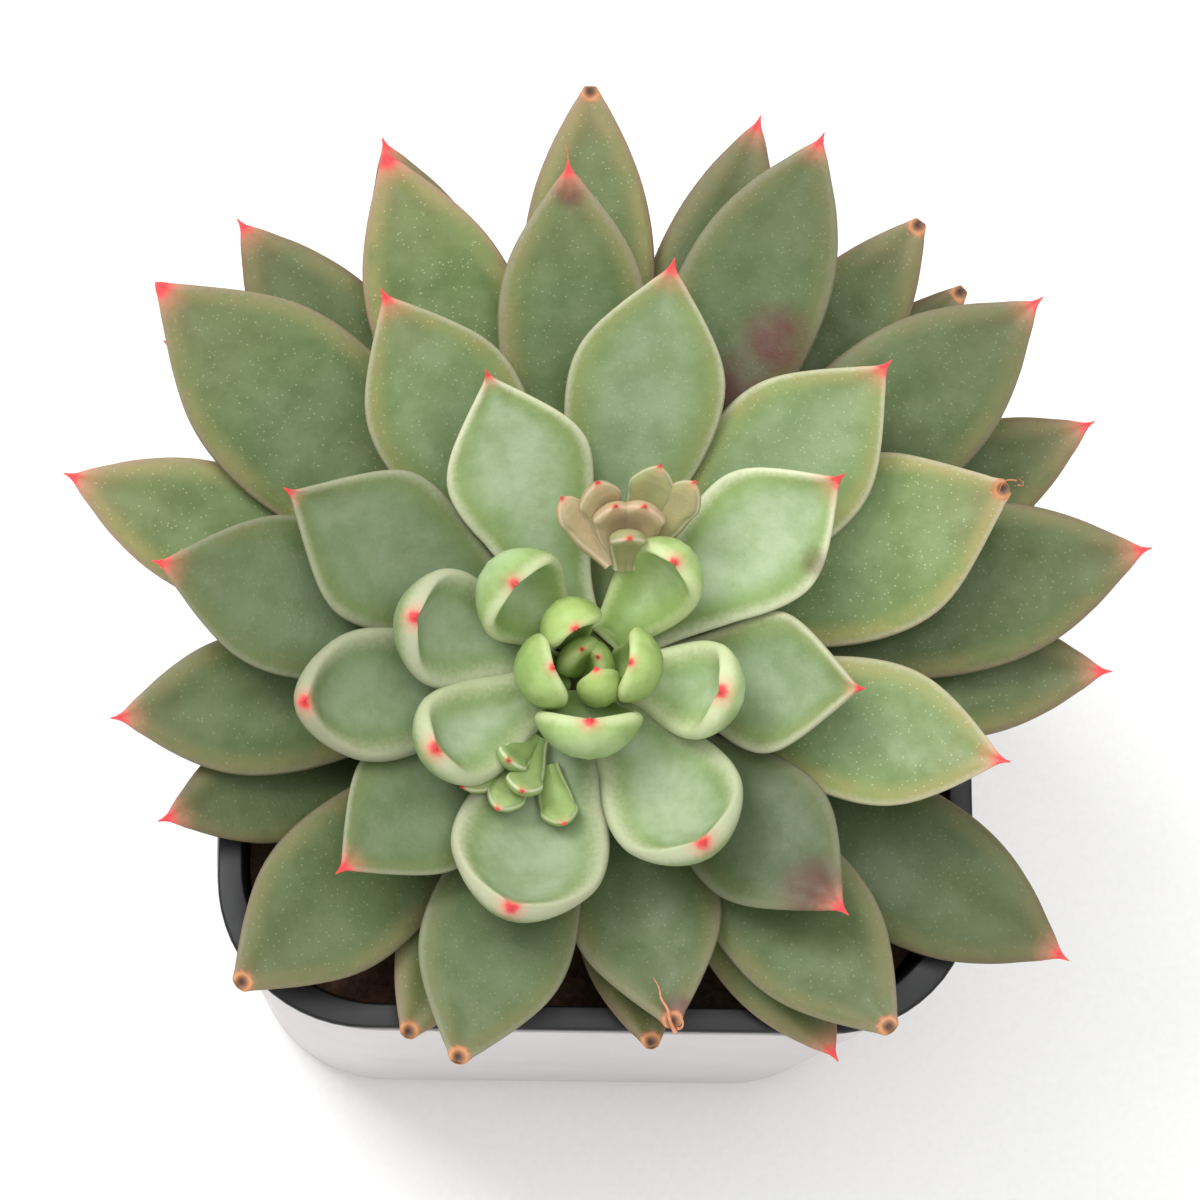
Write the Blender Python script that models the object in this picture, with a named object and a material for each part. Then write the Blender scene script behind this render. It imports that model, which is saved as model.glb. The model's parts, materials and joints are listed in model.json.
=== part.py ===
"""Potted succulent: a leaning rosette of thick pointed leaves in a square pot.

Units are metres and +Z is up. The origin is the centre of the pot's underside.
A white cover pot holds a black nursery liner, the liner holds the soil, and the
stem stands in the soil. The leaves follow the golden angle round the stem, and
neighbours tip apart until no two of them touch.
"""
import math

import bmesh
import bpy
from mathutils import Matrix, Vector
from mathutils.bvhtree import BVHTree

MM = 0.001

# Driving dimensions of the pots
POT_HEIGHT = 0.080
RIM_WIDTH = 0.100
RIM_CORNER = 0.0225
FOOT_WIDTH = 0.0888
FOOT_CORNER = 0.019
COVER_WALL = 0.0022
COVER_FLOOR = 0.003
FOOT_BEVEL = 0.0015
LINER_WALL = 0.0010
LINER_LIP_THICK = 0.0012
LINER_LIP_INSET = 0.0003
CORNER_STEPS = 5
DRAIN_HOLE = 0.008
DRAIN_SPREAD = 0.024
FIT_GAP = 0.0003

# Driving dimensions of the soil and the stem
SOIL_BELOW_RIM = 0.008
SOIL_EDGE_DROP = 0.0015
SOIL_RINGS = (0.75, 0.45, 0.2)
SOIL_RIPPLE = 0.3
SOIL_RIPPLES_X = 260.0
SOIL_RIPPLES_Y = 310.0
STEM_RADIUS = 0.0072
STEM_HEIGHT = 0.0300
STEM_ROOT = 0.018
STEM_SIDES = 16
STEM_SHOULDER = 0.5
STEM_POINT = 0.06
STEM_CONE_POWER = 2.6
STEM_LEVELS = (0.3, STEM_SHOULDER, 0.62, 0.74, 0.86, 0.94, 1.0)
LEAN = math.radians(10.0)
LEAN_AZIMUTH = math.radians(253.5)
FOOT_X = -0.0015
FOOT_Y = -0.0005

# Driving dimensions of the leaves
GOLDEN_ANGLE = 137.75
FIRST_AZIMUTH = 270.0
LEAF_BASE_THICKNESS = 0.0014
LOWEST_LEAF = 0.0030
HIGHEST_LEAF = 0.0290
LEAF_GAP = 0.0004
SETTLE_STEP = math.radians(0.25)
SETTLE_PASSES = 150
AXIS_CLEAR = 0.0004
WRAP_RADIUS = 0.0035
EVEN_SHARE = 0.25
BASE_WIDTH_SHARE = 0.7
THICKEST_PLACE = 0.5
THICKENING_POWER = 1.3
THINNING_POWER = 0.7
# Places of the leaf's sections along it, and one section as shares of the
# half-width and of the thickness: a keeled underside and a hollow upper face
STATIONS = (0.0, 0.08, 0.17, 0.27, 0.38, 0.49, 0.60, 0.70, 0.79, 0.87, 0.93, 0.975)
SECTION = (
    (-1.0, 0.00), (-0.58, -0.50), (0.0, -0.86), (0.58, -0.50),
    (1.0, 0.00), (0.55, 0.20), (0.0, 0.10), (-0.55, 0.20),
)

# The leaves follow laws of their rank on the spiral. Each stop is a rank and a
# value: reach from the axis in millimetres, full width in millimetres, tip height
# above the soil in millimetres, how far the leaf's belly hangs below its chord in
# millimetres, greatest thickness in millimetres, how far that thickness is kept
# towards the tip, place of the widest point, bluntness of the end, width of the
# base in millimetres, and how slowly the leaf widens from its base.
REACHES = (
    (-5, 2), (-2, 5), (0, 11), (3, 22), (7, 33), (11, 39), (17, 48), (25, 58), (33, 66), (41, 70), (69, 69))
WIDTHS = ((-5, 7), (-2, 11), (0, 15), (5, 17), (9, 19), (20, 20), (37, 20), (50, 17), (69, 15))
TIP_HEIGHTS = ((-5, 40), (-2, 40), (0, 39), (3, 38), (8, 38), (17, 34), (30, 26), (43, 17), (56, 10), (69, 6))
BELLIES = ((-5, 1.4), (-3, 2.0), (-2, 2.2), (0, 2.5), (3, 2.8), (8, 3.0), (17, 2.2), (30, 1.6), (69, 1.0))
THICKNESSES = ((-5, 2.2), (0, 2.6), (4, 2.9), (10, 3.4), (20, 4.0), (35, 4.5), (69, 3.8))
FULLNESS = ((-5, 2.8), (8, 2.8), (17, 2.6), (69, 2.4))
WIDEST_PLACES = ((-5, 0.58), (0, 0.66), (8, 0.68), (20, 0.64), (69, 0.62))
BLUNTNESS = ((-5, 2.4), (0, 3.4), (6, 3.2), (12, 2.3), (69, 2.2))
BASE_WIDTHS = ((-5, 4.0), (0, 5.4), (8, 5.4), (16, 4.4), (69, 4.4))
WAISTS = ((-5, 1.2), (4, 1.5), (16, 2.0), (69, 2.0))

# The plant leans to its front, so its back leaves reach further by this share
BACK_REACH = 0.14

# Each leaf from the crown down: rank on the spiral, turn off the spiral in
# degrees, and how much longer and wider than the laws it is in millimetres.
# A young leaf first, so that the crown's leaves carry the lowest numbers.
LEAVES = (
    (-5, 50, 0, -2), (-4, 20, 0, 0), (-3, 25, 1, 0), (-2, 15, 0, -1), (-1, 0, 8, -2), (0, 0, 0, 0),
    (1, 5, -2, -2), (2, -10, 1, -3), (3, -5, 4, -3), (5, 0, 5, 1), (6, 5, -7, -2), (7, 10, 4, 1),
    (8, 5, 5, 2), (9, 0, -2, 1), (11, -5, 0, -2), (14, 10, -2, 2), (15, -10, -9, 0), (16, -5, 0, 0),
    (17, -10, -2, 1), (18, 5, 2, 0), (19, -5, 5, 1), (20, 10, -2, 2), (21, -5, 9, 0), (22, 0, -6, 1),
    (23, 5, 2, -1), (25, 0, 10, 0), (26, -5, -2, 0), (28, 10, -4, 4), (30, -5, -6, 0), (31, -10, 6, 0),
    (32, 5, -2, -1), (33, -5, 5, 2), (35, 10, 2, 5), (37, 10, 2, 1), (39, 5, 0, -5), (40, 0, 0, -1),
    (41, -10, 4, 3), (42, 0, -6, -4), (43, 5, -6, 2), (44, 0, 9, 2), (46, 0, -2, -1), (48, -10, -2, 1),
    (49, 0, 0, 1), (51, 5, 0, 1), (54, -5, 2, 1), (56, -5, -2, 1), (58, 0, -5, 1), (59, 10, 0, 0),
    (60, -5, -6, -2), (61, -5, -4, -1), (67, 5, -2, -1), (69, 5, -5, -1),
)

# Driving dimensions of the two offsets at the foot of the inner leaves
PUP_BLADES = 7
PUP_BLADE_LENGTH = 0.0105
PUP_BLADE_WIDTH = 0.0066
PUP_BLADE_DEPTH = 0.0024
PUP_BLADE_BELLY = 0.001
PUP_BLADE_ROOT = 0.35
PUP_BASE_WIDTH_SHARE = 0.5
PUP_BASE_DEPTH_SHARE = 0.6
PUP_WIDEST_PLACE = 0.6
PUP_BLUNTNESS = 2.2
PUP_WAIST = 1.3
PUP_FULLNESS = 3.0
# The outer leaves of an offset spread wider, start lower and end lower than the
# inner ones: the first leaf's share, then the change from each leaf to the next
PUP_SPREAD = (0.35, 0.65)
PUP_BASE_LEVEL = (0.34, 0.04)
PUP_TIP_LEVEL = (1.25, 0.09)
PUP_TIP_REACH = 0.001
PUP_CORE_RADIUS = 0.0026
PUP_CORE_SIDES = 10
PUP_TIP_LEAN = 0.6
PUP_CORE_LEVELS = (-0.25, 0.0, 0.3, 0.6)
PUP_CORE_TAPER = 1.5
PUP_MOST_RAISE = 0.020
PUP_RAISE_STEP = 0.0005
# Name, azimuth in the plant's frame in degrees, reach, height and scale
PUPS = (
    ("pup_back", 75.0, 0.0200, 0.0240, 1.0),
    ("pup_front", 246.0, 0.0185, 0.0210, 0.8),
)


def material(name, colour, roughness, metallic=0.0):
    """A plain Principled material."""
    made = bpy.data.materials.new(name)
    made.use_nodes = True
    shader = made.node_tree.nodes["Principled BSDF"]
    shader.inputs["Base Color"].default_value = (*colour, 1.0)
    shader.inputs["Roughness"].default_value = roughness
    shader.inputs["Metallic"].default_value = metallic
    return made


def loft(rings, tip=None):
    """A closed bmesh through rings of points that run counter-clockwise seen from the end."""
    bm = bmesh.new()
    loops = [[bm.verts.new(point) for point in ring] for ring in rings]
    for lower, upper in zip(loops, loops[1:]):
        for i in range(len(lower)):
            j = (i + 1) % len(lower)
            bm.faces.new((lower[i], lower[j], upper[j], upper[i]))
    bm.faces.new(list(reversed(loops[0])))
    if tip is None:
        bm.faces.new(loops[-1])
    else:
        end = bm.verts.new(tip)
        last = loops[-1]
        for i in range(len(last)):
            bm.faces.new((last[i], last[(i + 1) % len(last)], end))
    return bm


def add_object(name, bm, finish, smooth=False):
    """An object made from a bmesh."""
    bmesh.ops.recalc_face_normals(bm, faces=bm.faces)
    mesh = bpy.data.meshes.new(name)
    bm.to_mesh(mesh)
    bm.free()
    if smooth:
        mesh.shade_smooth()
    mesh.materials.append(finish)
    made = bpy.data.objects.new(name, mesh)
    bpy.context.scene.collection.objects.link(made)
    return made


def cut(target, cutter):
    """Subtract a hidden cutter with a Boolean modifier."""
    cutter.hide_render = True
    cutter.display_type = "WIRE"
    boolean = target.modifiers.new("Cut", "BOOLEAN")
    boolean.operation = "DIFFERENCE"
    boolean.object = cutter


def rounded_square(side, corner, z):
    """Points of a square with arc corners at height z, counter-clockwise from above."""
    points = []
    centre = side / 2 - corner
    for quarter in range(4):
        start = quarter * math.pi / 2
        cx = centre * (1 if quarter in (0, 3) else -1)
        cy = centre * (1 if quarter in (0, 1) else -1)
        for step in range(CORNER_STEPS + 1):
            angle = start + step * math.pi / 2 / CORNER_STEPS
            points.append((cx + corner * math.cos(angle), cy + corner * math.sin(angle), z))
    return points


def outer_ring(z, inset=0.0):
    """A ring of the cover pot's tapering outer wall, moved in by inset."""
    share = z / POT_HEIGHT
    side = FOOT_WIDTH + (RIM_WIDTH - FOOT_WIDTH) * share - 2 * inset
    corner = FOOT_CORNER + (RIM_CORNER - FOOT_CORNER) * share - inset
    return rounded_square(side, corner, z)


COVER_RIM_Z = POT_HEIGHT - LINER_LIP_THICK - FIT_GAP
LINER_FLOOR_Z = COVER_FLOOR + FIT_GAP
LINER_INSET = COVER_WALL + FIT_GAP
SOIL_INSET = LINER_INSET + LINER_WALL + FIT_GAP
SOIL_Z = POT_HEIGHT - SOIL_BELOW_RIM


def build_cover_pot():
    """The white square cover pot."""
    rings = [
        outer_ring(0.0, FOOT_BEVEL),
        outer_ring(FOOT_BEVEL),
        outer_ring(COVER_RIM_Z),
        outer_ring(COVER_RIM_Z, COVER_WALL),
        outer_ring(COVER_FLOOR, COVER_WALL),
    ]
    finish = material("white_pot_plastic", (0.80, 0.80, 0.78), 0.45)
    return add_object("cover_pot", loft(rings), finish)


def build_liner_pot():
    """The black nursery liner, whose lip rests over the cover pot's rim."""
    inner = LINER_INSET + LINER_WALL
    lip_under = COVER_RIM_Z + FIT_GAP
    rings = [
        outer_ring(LINER_FLOOR_Z, LINER_INSET),
        outer_ring(lip_under, LINER_INSET),
        outer_ring(lip_under, LINER_LIP_INSET),
        outer_ring(POT_HEIGHT, LINER_LIP_INSET),
        outer_ring(POT_HEIGHT, inner),
        outer_ring(LINER_FLOOR_Z + LINER_WALL, inner),
    ]
    finish = material("black_liner_plastic", (0.012, 0.012, 0.013), 0.45)
    liner = add_object("liner_pot", loft(rings), finish)
    cutters = bmesh.new()
    for x in (-1, 0, 1):
        for y in (-1, 0, 1):
            if (x + y) % 2 == 0:
                place = Matrix.Translation((x * DRAIN_SPREAD, y * DRAIN_SPREAD, LINER_FLOOR_Z))
                bmesh.ops.create_cone(
                    cutters, cap_ends=True, segments=12, radius1=DRAIN_HOLE / 2,
                    radius2=DRAIN_HOLE / 2, depth=4 * LINER_WALL, matrix=place)
    cut(liner, add_object("drain_cutter", cutters, finish))
    return liner


PLANT_FOOT = Vector((FOOT_X, FOOT_Y, SOIL_Z))


def plant_matrix():
    """The leaning frame of the plant: origin at the foot, +Z up the stem."""
    towards = Vector((math.cos(LEAN_AZIMUTH), math.sin(LEAN_AZIMUTH), 0.0))
    up = Vector((0, 0, 1)) * math.cos(LEAN) + towards * math.sin(LEAN)
    back = (Vector((0, 1, 0)) - up * up.y).normalized()
    side = back.cross(up)
    turn = Matrix((side, back, up)).transposed().to_4x4()
    return Matrix.Translation(PLANT_FOOT) @ turn


PLANT = plant_matrix()


def stem_radius(height):
    """The stem's radius at a height up its axis: a straight stalk under a domed tip."""
    shoulder = STEM_HEIGHT * STEM_SHOULDER
    if height <= shoulder:
        return STEM_RADIUS
    share = min(1.0, (height - shoulder) / (STEM_HEIGHT - shoulder))
    return STEM_RADIUS * max(STEM_POINT, 1.0 - share ** STEM_CONE_POWER)


def stem_rings(grow):
    """Rings of the stem, made larger all round by grow."""
    heights = [-STEM_ROOT - grow, 0.0]
    heights += [STEM_HEIGHT * share for share in STEM_LEVELS]
    rings = []
    for height in heights:
        radius = stem_radius(height) + grow
        angles = [2 * math.pi * i / STEM_SIDES for i in range(STEM_SIDES)]
        rings.append([PLANT @ Vector((radius * math.cos(a), radius * math.sin(a), height))
                      for a in angles])
    return rings


def build_stem():
    """The short leaning stem that carries the leaves."""
    finish = material("stem", (0.22, 0.24, 0.10), 0.7)
    return add_object("stem", loft(stem_rings(0.0)), finish, smooth=True)


def build_soil():
    """The potting soil, with a socket for the stem's root end."""
    rings = [
        outer_ring(LINER_FLOOR_Z + LINER_WALL + FIT_GAP, SOIL_INSET),
        outer_ring(SOIL_Z - SOIL_EDGE_DROP, SOIL_INSET),
    ]
    for share in SOIL_RINGS:
        ring = []
        for x, y, _ in rings[1]:
            ripple = math.sin(SOIL_RIPPLES_X * x * share) * math.cos(SOIL_RIPPLES_Y * y * share)
            ring.append((x * share, y * share, SOIL_Z - SOIL_EDGE_DROP * (share + SOIL_RIPPLE * ripple)))
        rings.append(ring)
    finish = material("potting_soil", (0.07, 0.04, 0.02), 0.95)
    soil = add_object("soil", loft(rings), finish)
    cut(soil, add_object("stem_socket", loft(stem_rings(FIT_GAP)), finish))
    return soil


def leaf_outline(t, widest, blunt, waist):
    """Half-width at share t of a leaf's length, as a share of its widest half-width."""
    if t < widest:
        return math.sin(math.pi / 2 * t / widest) ** waist
    return 1 - ((t - widest) / (1 - widest)) ** blunt


def leaf_depth(t, fullness):
    """Thickness at share t of a leaf's length, as a share of its greatest."""
    if t < THICKEST_PLACE:
        return math.sin(math.pi / 2 * t / THICKEST_PLACE) ** THICKENING_POWER
    return (1 - ((t - THICKEST_PLACE) / (1 - THICKEST_PLACE)) ** fullness) ** THINNING_POWER


def bezier(a, b, c, t):
    """Point and direction of a quadratic curve at t."""
    point = a * (1 - t) ** 2 + b * 2 * t * (1 - t) + c * t ** 2
    return point, ((b - a) * (1 - t) + (c - b) * t).normalized()


def mix(stops, at):
    """Straight-line reading of a list of (place, value) stops."""
    for (a, va), (b, vb) in zip(stops, stops[1:]):
        if at <= b:
            return va + (vb - va) * max(0.0, at - a) / (b - a)
    return stops[-1][1]


class Blade:
    """One thick pointed leaf on an axis: its curve from base to tip and its sizes."""

    def __init__(self, frame, azimuth, base, tip, belly, width, base_width, depth, base_depth,
                 widest, blunt, waist, fullness):
        chord = tip - base
        under = Vector((chord.y, -chord.x)).normalized()
        self.frame = frame
        self.azimuth = azimuth
        self.base = base
        self.tip = tip
        self.middle = (base + tip) / 2 + under * 2 * belly
        self.width = width
        self.base_width = base_width
        self.depth = depth
        self.base_depth = base_depth
        self.widest = widest
        self.blunt = blunt
        self.waist = waist
        self.fullness = fullness

    def place(self, radius, height, swing):
        """A point at a radius and height, swung sideways round the axis."""
        angle = self.azimuth + swing
        return self.frame @ Vector((radius * math.cos(angle), radius * math.sin(angle), height))

    def rings(self, grow=0.0):
        """Rings of the leaf and its tip, made thicker all round by grow."""
        rings = []
        for t in STATIONS:
            point, along = bezier(self.base, self.middle, self.tip, t)
            up = Vector((-along.y, along.x))
            outline = leaf_outline(t, self.widest, self.blunt, self.waist)
            narrow = self.base_width if t < self.widest else 0.0
            half = (narrow + (self.width - narrow) * outline) / 2 + grow
            depth = max(self.base_depth * (1 - t), self.depth * leaf_depth(t, self.fullness)) + 2 * grow
            ring = []
            for across, out in SECTION:
                spot = point + up * out * depth
                radius = max(spot.x, AXIS_CLEAR)
                swing = across * half / max(radius, WRAP_RADIUS)
                ring.append(self.place(radius, spot.y, swing))
            rings.append(ring)
        return rings, self.place(self.tip.x, self.tip.y, 0.0)


def leaf_level(order):
    """A leaf's level on the stem: its rank, drawn a little towards even spacing."""
    youngest = LEAVES[0][0]
    oldest = LEAVES[-1][0]
    even = youngest + (oldest - youngest) * order / (len(LEAVES) - 1)
    return LEAVES[order][0] * (1 - EVEN_SHARE) + even * EVEN_SHARE


def leaf_blade(order, tilt):
    """The blade of one leaf, tipped up by tilt."""
    rank, turn, longer, wider = LEAVES[order]
    level = leaf_level(order)
    share = (level - LEAVES[0][0]) / (LEAVES[-1][0] - LEAVES[0][0])
    height = HIGHEST_LEAF + (LOWEST_LEAF - HIGHEST_LEAF) * share
    azimuth = math.radians(FIRST_AZIMUTH - GOLDEN_ANGLE * rank + turn)
    reach = (mix(REACHES, rank) * (1 + BACK_REACH * math.sin(azimuth)) + longer) * MM
    width = (mix(WIDTHS, rank) + wider) * MM
    base = Vector((stem_radius(height - LEAF_BASE_THICKNESS) + FIT_GAP, height))
    run = reach - base.x
    rise = mix(TIP_HEIGHTS, level) * MM - height
    angle = math.atan2(rise, run) + tilt
    length = math.hypot(run, rise)
    tip = base + Vector((math.cos(angle), math.sin(angle))) * length
    return Blade(
        frame=PLANT,
        azimuth=azimuth,
        base=base,
        tip=tip,
        belly=mix(BELLIES, level) * MM,
        width=width,
        base_width=min(mix(BASE_WIDTHS, level) * MM, width * BASE_WIDTH_SHARE),
        depth=mix(THICKNESSES, level) * MM,
        base_depth=LEAF_BASE_THICKNESS,
        widest=mix(WIDEST_PLACES, level),
        blunt=mix(BLUNTNESS, level),
        waist=mix(WAISTS, level),
        fullness=mix(FULLNESS, level),
    )


def tree_of(bm):
    """A search tree over a bmesh's triangles."""
    copy = bm.copy()
    bmesh.ops.triangulate(copy, faces=copy.faces)
    tree = BVHTree.FromBMesh(copy)
    copy.free()
    return tree


def leaf_tilts(obstacles):
    """How far each leaf tips from its own slope so that no two leaves touch.

    Where two leaves touch, the younger one tips up and the older one tips down.
    A leaf that touches the rim or the soil tips up.
    """
    count = len(LEAVES)
    tilts = [0.0] * count
    for _ in range(SETTLE_PASSES):
        trees = [tree_of(loft(*leaf_blade(i, tilts[i]).rings(LEAF_GAP / 2))) for i in range(count)]
        push = [0.0] * count
        for upper in range(count):
            for lower in range(upper + 1, count):
                if trees[upper].overlap(trees[lower]):
                    push[upper] += SETTLE_STEP
                    push[lower] -= SETTLE_STEP
            if any(trees[upper].overlap(other) for other in obstacles):
                push[upper] = max(push[upper], 0.0) + 2 * SETTLE_STEP
        if not any(push):
            break
        for i in range(count):
            tilts[i] += max(-2 * SETTLE_STEP, min(2 * SETTLE_STEP, push[i]))
    return tilts


def build_leaves(obstacles):
    """All the leaves, numbered from the crown down."""
    finish = material("succulent_leaf", (0.30, 0.42, 0.24), 0.45)
    trees = []
    for order, tilt in enumerate(leaf_tilts(obstacles)):
        trees.append(tree_of(loft(*leaf_blade(order, tilt).rings(LEAF_GAP))))
        bm = loft(*leaf_blade(order, tilt).rings())
        add_object(f"leaf_{order + 1:02d}", bm, finish, smooth=True)
    return trees


def pup_blades(frame, scale):
    """The small leaves of one offset rosette, in its own frame."""
    blades = []
    for i in range(PUP_BLADES):
        spread = (PUP_SPREAD[0] + PUP_SPREAD[1] * i / (PUP_BLADES - 1)) * scale
        base_level = PUP_BASE_LEVEL[0] - PUP_BASE_LEVEL[1] * i
        tip_level = PUP_TIP_LEVEL[0] - PUP_TIP_LEVEL[1] * i
        base = Vector((PUP_CORE_RADIUS * PUP_BLADE_ROOT * scale, PUP_BLADE_LENGTH * base_level * scale))
        tip = Vector((PUP_BLADE_LENGTH * PUP_TIP_LEAN * spread + PUP_TIP_REACH,
                      PUP_BLADE_LENGTH * tip_level * scale))
        blades.append(Blade(
            frame=frame,
            azimuth=math.radians(-GOLDEN_ANGLE * i),
            base=base,
            tip=tip,
            belly=PUP_BLADE_BELLY * scale,
            width=PUP_BLADE_WIDTH * scale,
            base_width=PUP_BLADE_WIDTH * PUP_BASE_WIDTH_SHARE * scale,
            depth=PUP_BLADE_DEPTH * scale,
            base_depth=PUP_BLADE_DEPTH * PUP_BASE_DEPTH_SHARE * scale,
            widest=PUP_WIDEST_PLACE,
            blunt=PUP_BLUNTNESS,
            waist=PUP_WAIST,
            fullness=PUP_FULLNESS,
        ))
    return blades


def build_pup(name, azimuth, reach, height, scale, trees):
    """One offset rosette, grown as one piece, raised until it clears the leaves."""
    finish = material(name, (0.33, 0.36, 0.20), 0.5)
    angle = math.radians(azimuth)
    lift = 0.0
    while True:
        spot = Vector((reach * math.cos(angle), reach * math.sin(angle), height + lift))
        frame = PLANT @ Matrix.Translation(spot)
        core = []
        for share in PUP_CORE_LEVELS:
            radius = PUP_CORE_RADIUS * scale * (1 - share ** 2 * PUP_CORE_TAPER)
            ring = [frame @ Vector((radius * math.cos(2 * math.pi * k / PUP_CORE_SIDES),
                                    radius * math.sin(2 * math.pi * k / PUP_CORE_SIDES),
                                    share * PUP_BLADE_LENGTH * scale)) for k in range(PUP_CORE_SIDES)]
            core.append(ring)
        lofts = [loft(core)] + [loft(*blade.rings()) for blade in pup_blades(frame, scale)]
        probes = [tree_of(bm) for bm in lofts]
        if lift > PUP_MOST_RAISE or not any(p.overlap(t) for p in probes for t in trees):
            break
        for bm in lofts:
            bm.free()
        lift += PUP_RAISE_STEP
    pup = add_object(name, lofts[0], finish, smooth=True)
    for k, bm in enumerate(lofts[1:]):
        part = add_object(f"{name}_blade_{k}", bm, finish)
        part.hide_render = True
        part.display_type = "WIRE"
        join = pup.modifiers.new("Join", "BOOLEAN")
        join.operation = "UNION"
        join.object = part


def main():
    """Build the whole object."""
    for old in list(bpy.data.objects):
        bpy.data.objects.remove(old, do_unlink=True)
    build_cover_pot()
    liner = build_liner_pot()
    build_soil()
    build_stem()
    rim = bmesh.new()
    rim.from_mesh(liner.data)
    trees = build_leaves([tree_of(rim)])
    rim.free()
    for pup in PUPS:
        build_pup(*pup, trees)


main()
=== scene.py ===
"""Potted succulent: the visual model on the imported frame.

Each sub-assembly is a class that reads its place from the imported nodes, builds its meshes and dresses them.
Lengths are in metres unless a name ends in _mm.
"""
import json
import logging
import math
import random
from dataclasses import dataclass, replace
from enum import Enum
from typing import Any, Iterable

import bmesh
import bpy
import numpy as np
from mathutils import Matrix, Vector, noise

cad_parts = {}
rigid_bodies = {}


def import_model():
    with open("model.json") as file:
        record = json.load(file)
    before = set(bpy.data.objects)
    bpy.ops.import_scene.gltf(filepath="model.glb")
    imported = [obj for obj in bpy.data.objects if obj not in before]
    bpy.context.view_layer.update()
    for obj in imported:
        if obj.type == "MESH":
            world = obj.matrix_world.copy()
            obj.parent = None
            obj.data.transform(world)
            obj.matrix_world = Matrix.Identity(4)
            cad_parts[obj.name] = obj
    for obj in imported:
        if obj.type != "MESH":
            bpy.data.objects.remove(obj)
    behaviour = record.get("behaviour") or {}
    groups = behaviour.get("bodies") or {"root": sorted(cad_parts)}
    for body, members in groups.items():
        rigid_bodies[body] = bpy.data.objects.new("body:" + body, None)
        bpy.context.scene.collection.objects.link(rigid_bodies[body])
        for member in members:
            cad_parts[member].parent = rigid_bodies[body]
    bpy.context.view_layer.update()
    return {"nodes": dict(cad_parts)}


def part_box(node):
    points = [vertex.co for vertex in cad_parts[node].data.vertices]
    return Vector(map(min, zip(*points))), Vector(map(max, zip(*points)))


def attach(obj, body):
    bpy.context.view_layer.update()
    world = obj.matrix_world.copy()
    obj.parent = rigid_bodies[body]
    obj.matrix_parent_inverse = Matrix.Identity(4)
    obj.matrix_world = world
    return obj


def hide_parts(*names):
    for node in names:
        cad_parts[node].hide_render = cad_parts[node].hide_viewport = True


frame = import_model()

MM = 0.001
log = logging.getLogger("succulent")


# ---------------------------------------------------------------- small helpers


def linear(code: str) -> tuple[float, float, float, float]:
    """Turn an sRGB hex colour into linear light.

    Args:
        code: six hex digits.

    Returns:
        Red, green, blue and alpha.
    """
    parts = [int(code[i:i + 2], 16) / 255 for i in (0, 2, 4)]
    light = [p / 12.92 if p <= 0.04045 else ((p + 0.055) / 1.055) ** 2.4 for p in parts]
    return (*light, 1.0)


def put(tree: bpy.types.NodeTree, kind: str, settings: dict[str, Any] | None = None,
        inputs: dict[Any, Any] | None = None, stops: Iterable[tuple[float, str]] = ()) -> bpy.types.Node:
    """Add one shader node.

    Args:
        tree: the material's node tree.
        kind: the node type.
        settings: properties of the node.
        inputs: socket name or number to a value or to the output socket that feeds it.
        stops: places and hex colours of a ramp.

    Returns:
        The node.
    """
    made = tree.nodes.new(kind)
    for name, value in (settings or {}).items():
        setattr(made, name, value)
    for name, value in (inputs or {}).items():
        if isinstance(value, bpy.types.NodeSocket):
            tree.links.new(value, made.inputs[name])
        else:
            made.inputs[name].default_value = value
    stops = list(stops)
    if stops:
        elements = made.color_ramp.elements
        while len(elements) < len(stops):
            elements.new(0.5)
        for element, (place, code) in zip(elements, stops):
            element.position = place
            element.color = linear(code)
    return made


def blank_material(name: str) -> tuple[bpy.types.Material, bpy.types.NodeTree, bpy.types.Node]:
    """Make a node material.

    Args:
        name: the real material's name.

    Returns:
        The material, its tree and its Principled shader.
    """
    made = bpy.data.materials.new(name)
    made.use_nodes = True
    return made, made.node_tree, made.node_tree.nodes["Principled BSDF"]


def deselect() -> None:
    """Deselect every object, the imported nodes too."""
    for one in bpy.context.scene.objects:
        one.select_set(False)


def focus(piece: bpy.types.Object) -> None:
    """Make a piece the only selected and the active object."""
    deselect()
    piece.select_set(True)
    bpy.context.view_layer.objects.active = piece


def apply_modifier(piece: bpy.types.Object, kind: str, **settings: Any) -> None:
    """Add a modifier and apply it.

    Args:
        piece: the piece.
        kind: the modifier type.
        settings: the modifier's properties.
    """
    focus(piece)
    added = piece.modifiers.new(kind.title(), kind)
    for name, value in settings.items():
        setattr(added, name, value)
    bpy.ops.object.modifier_apply(modifier=added.name)


def linked(name: str, data: Any) -> bpy.types.Object:
    """Stand a mesh, curve, light or camera in the scene as an object."""
    made = bpy.data.objects.new(name, data)
    bpy.context.scene.collection.objects.link(made)
    return made


def own_copy(source: bpy.types.Object, name: str) -> bpy.types.Object:
    """Copy an object with its own mesh."""
    return linked(name, source.data.copy())


def leave_edit_outward() -> None:
    """Turn every face outwards and leave edit mode."""
    bpy.ops.mesh.select_all(action="SELECT")
    bpy.ops.mesh.normals_make_consistent(inside=False)
    bpy.ops.object.mode_set(mode="OBJECT")


def points_of(mesh: bpy.types.Mesh) -> np.ndarray:
    """The places of a mesh's vertices, one row each."""
    spots = np.zeros(len(mesh.vertices) * 3)
    mesh.vertices.foreach_get("co", spots)
    return spots.reshape(-1, 3)


def unit(rows: np.ndarray) -> np.ndarray:
    """Each row scaled to a length of one."""
    return rows / np.maximum(np.linalg.norm(rows, axis=-1, keepdims=True), 1e-9)


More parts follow.
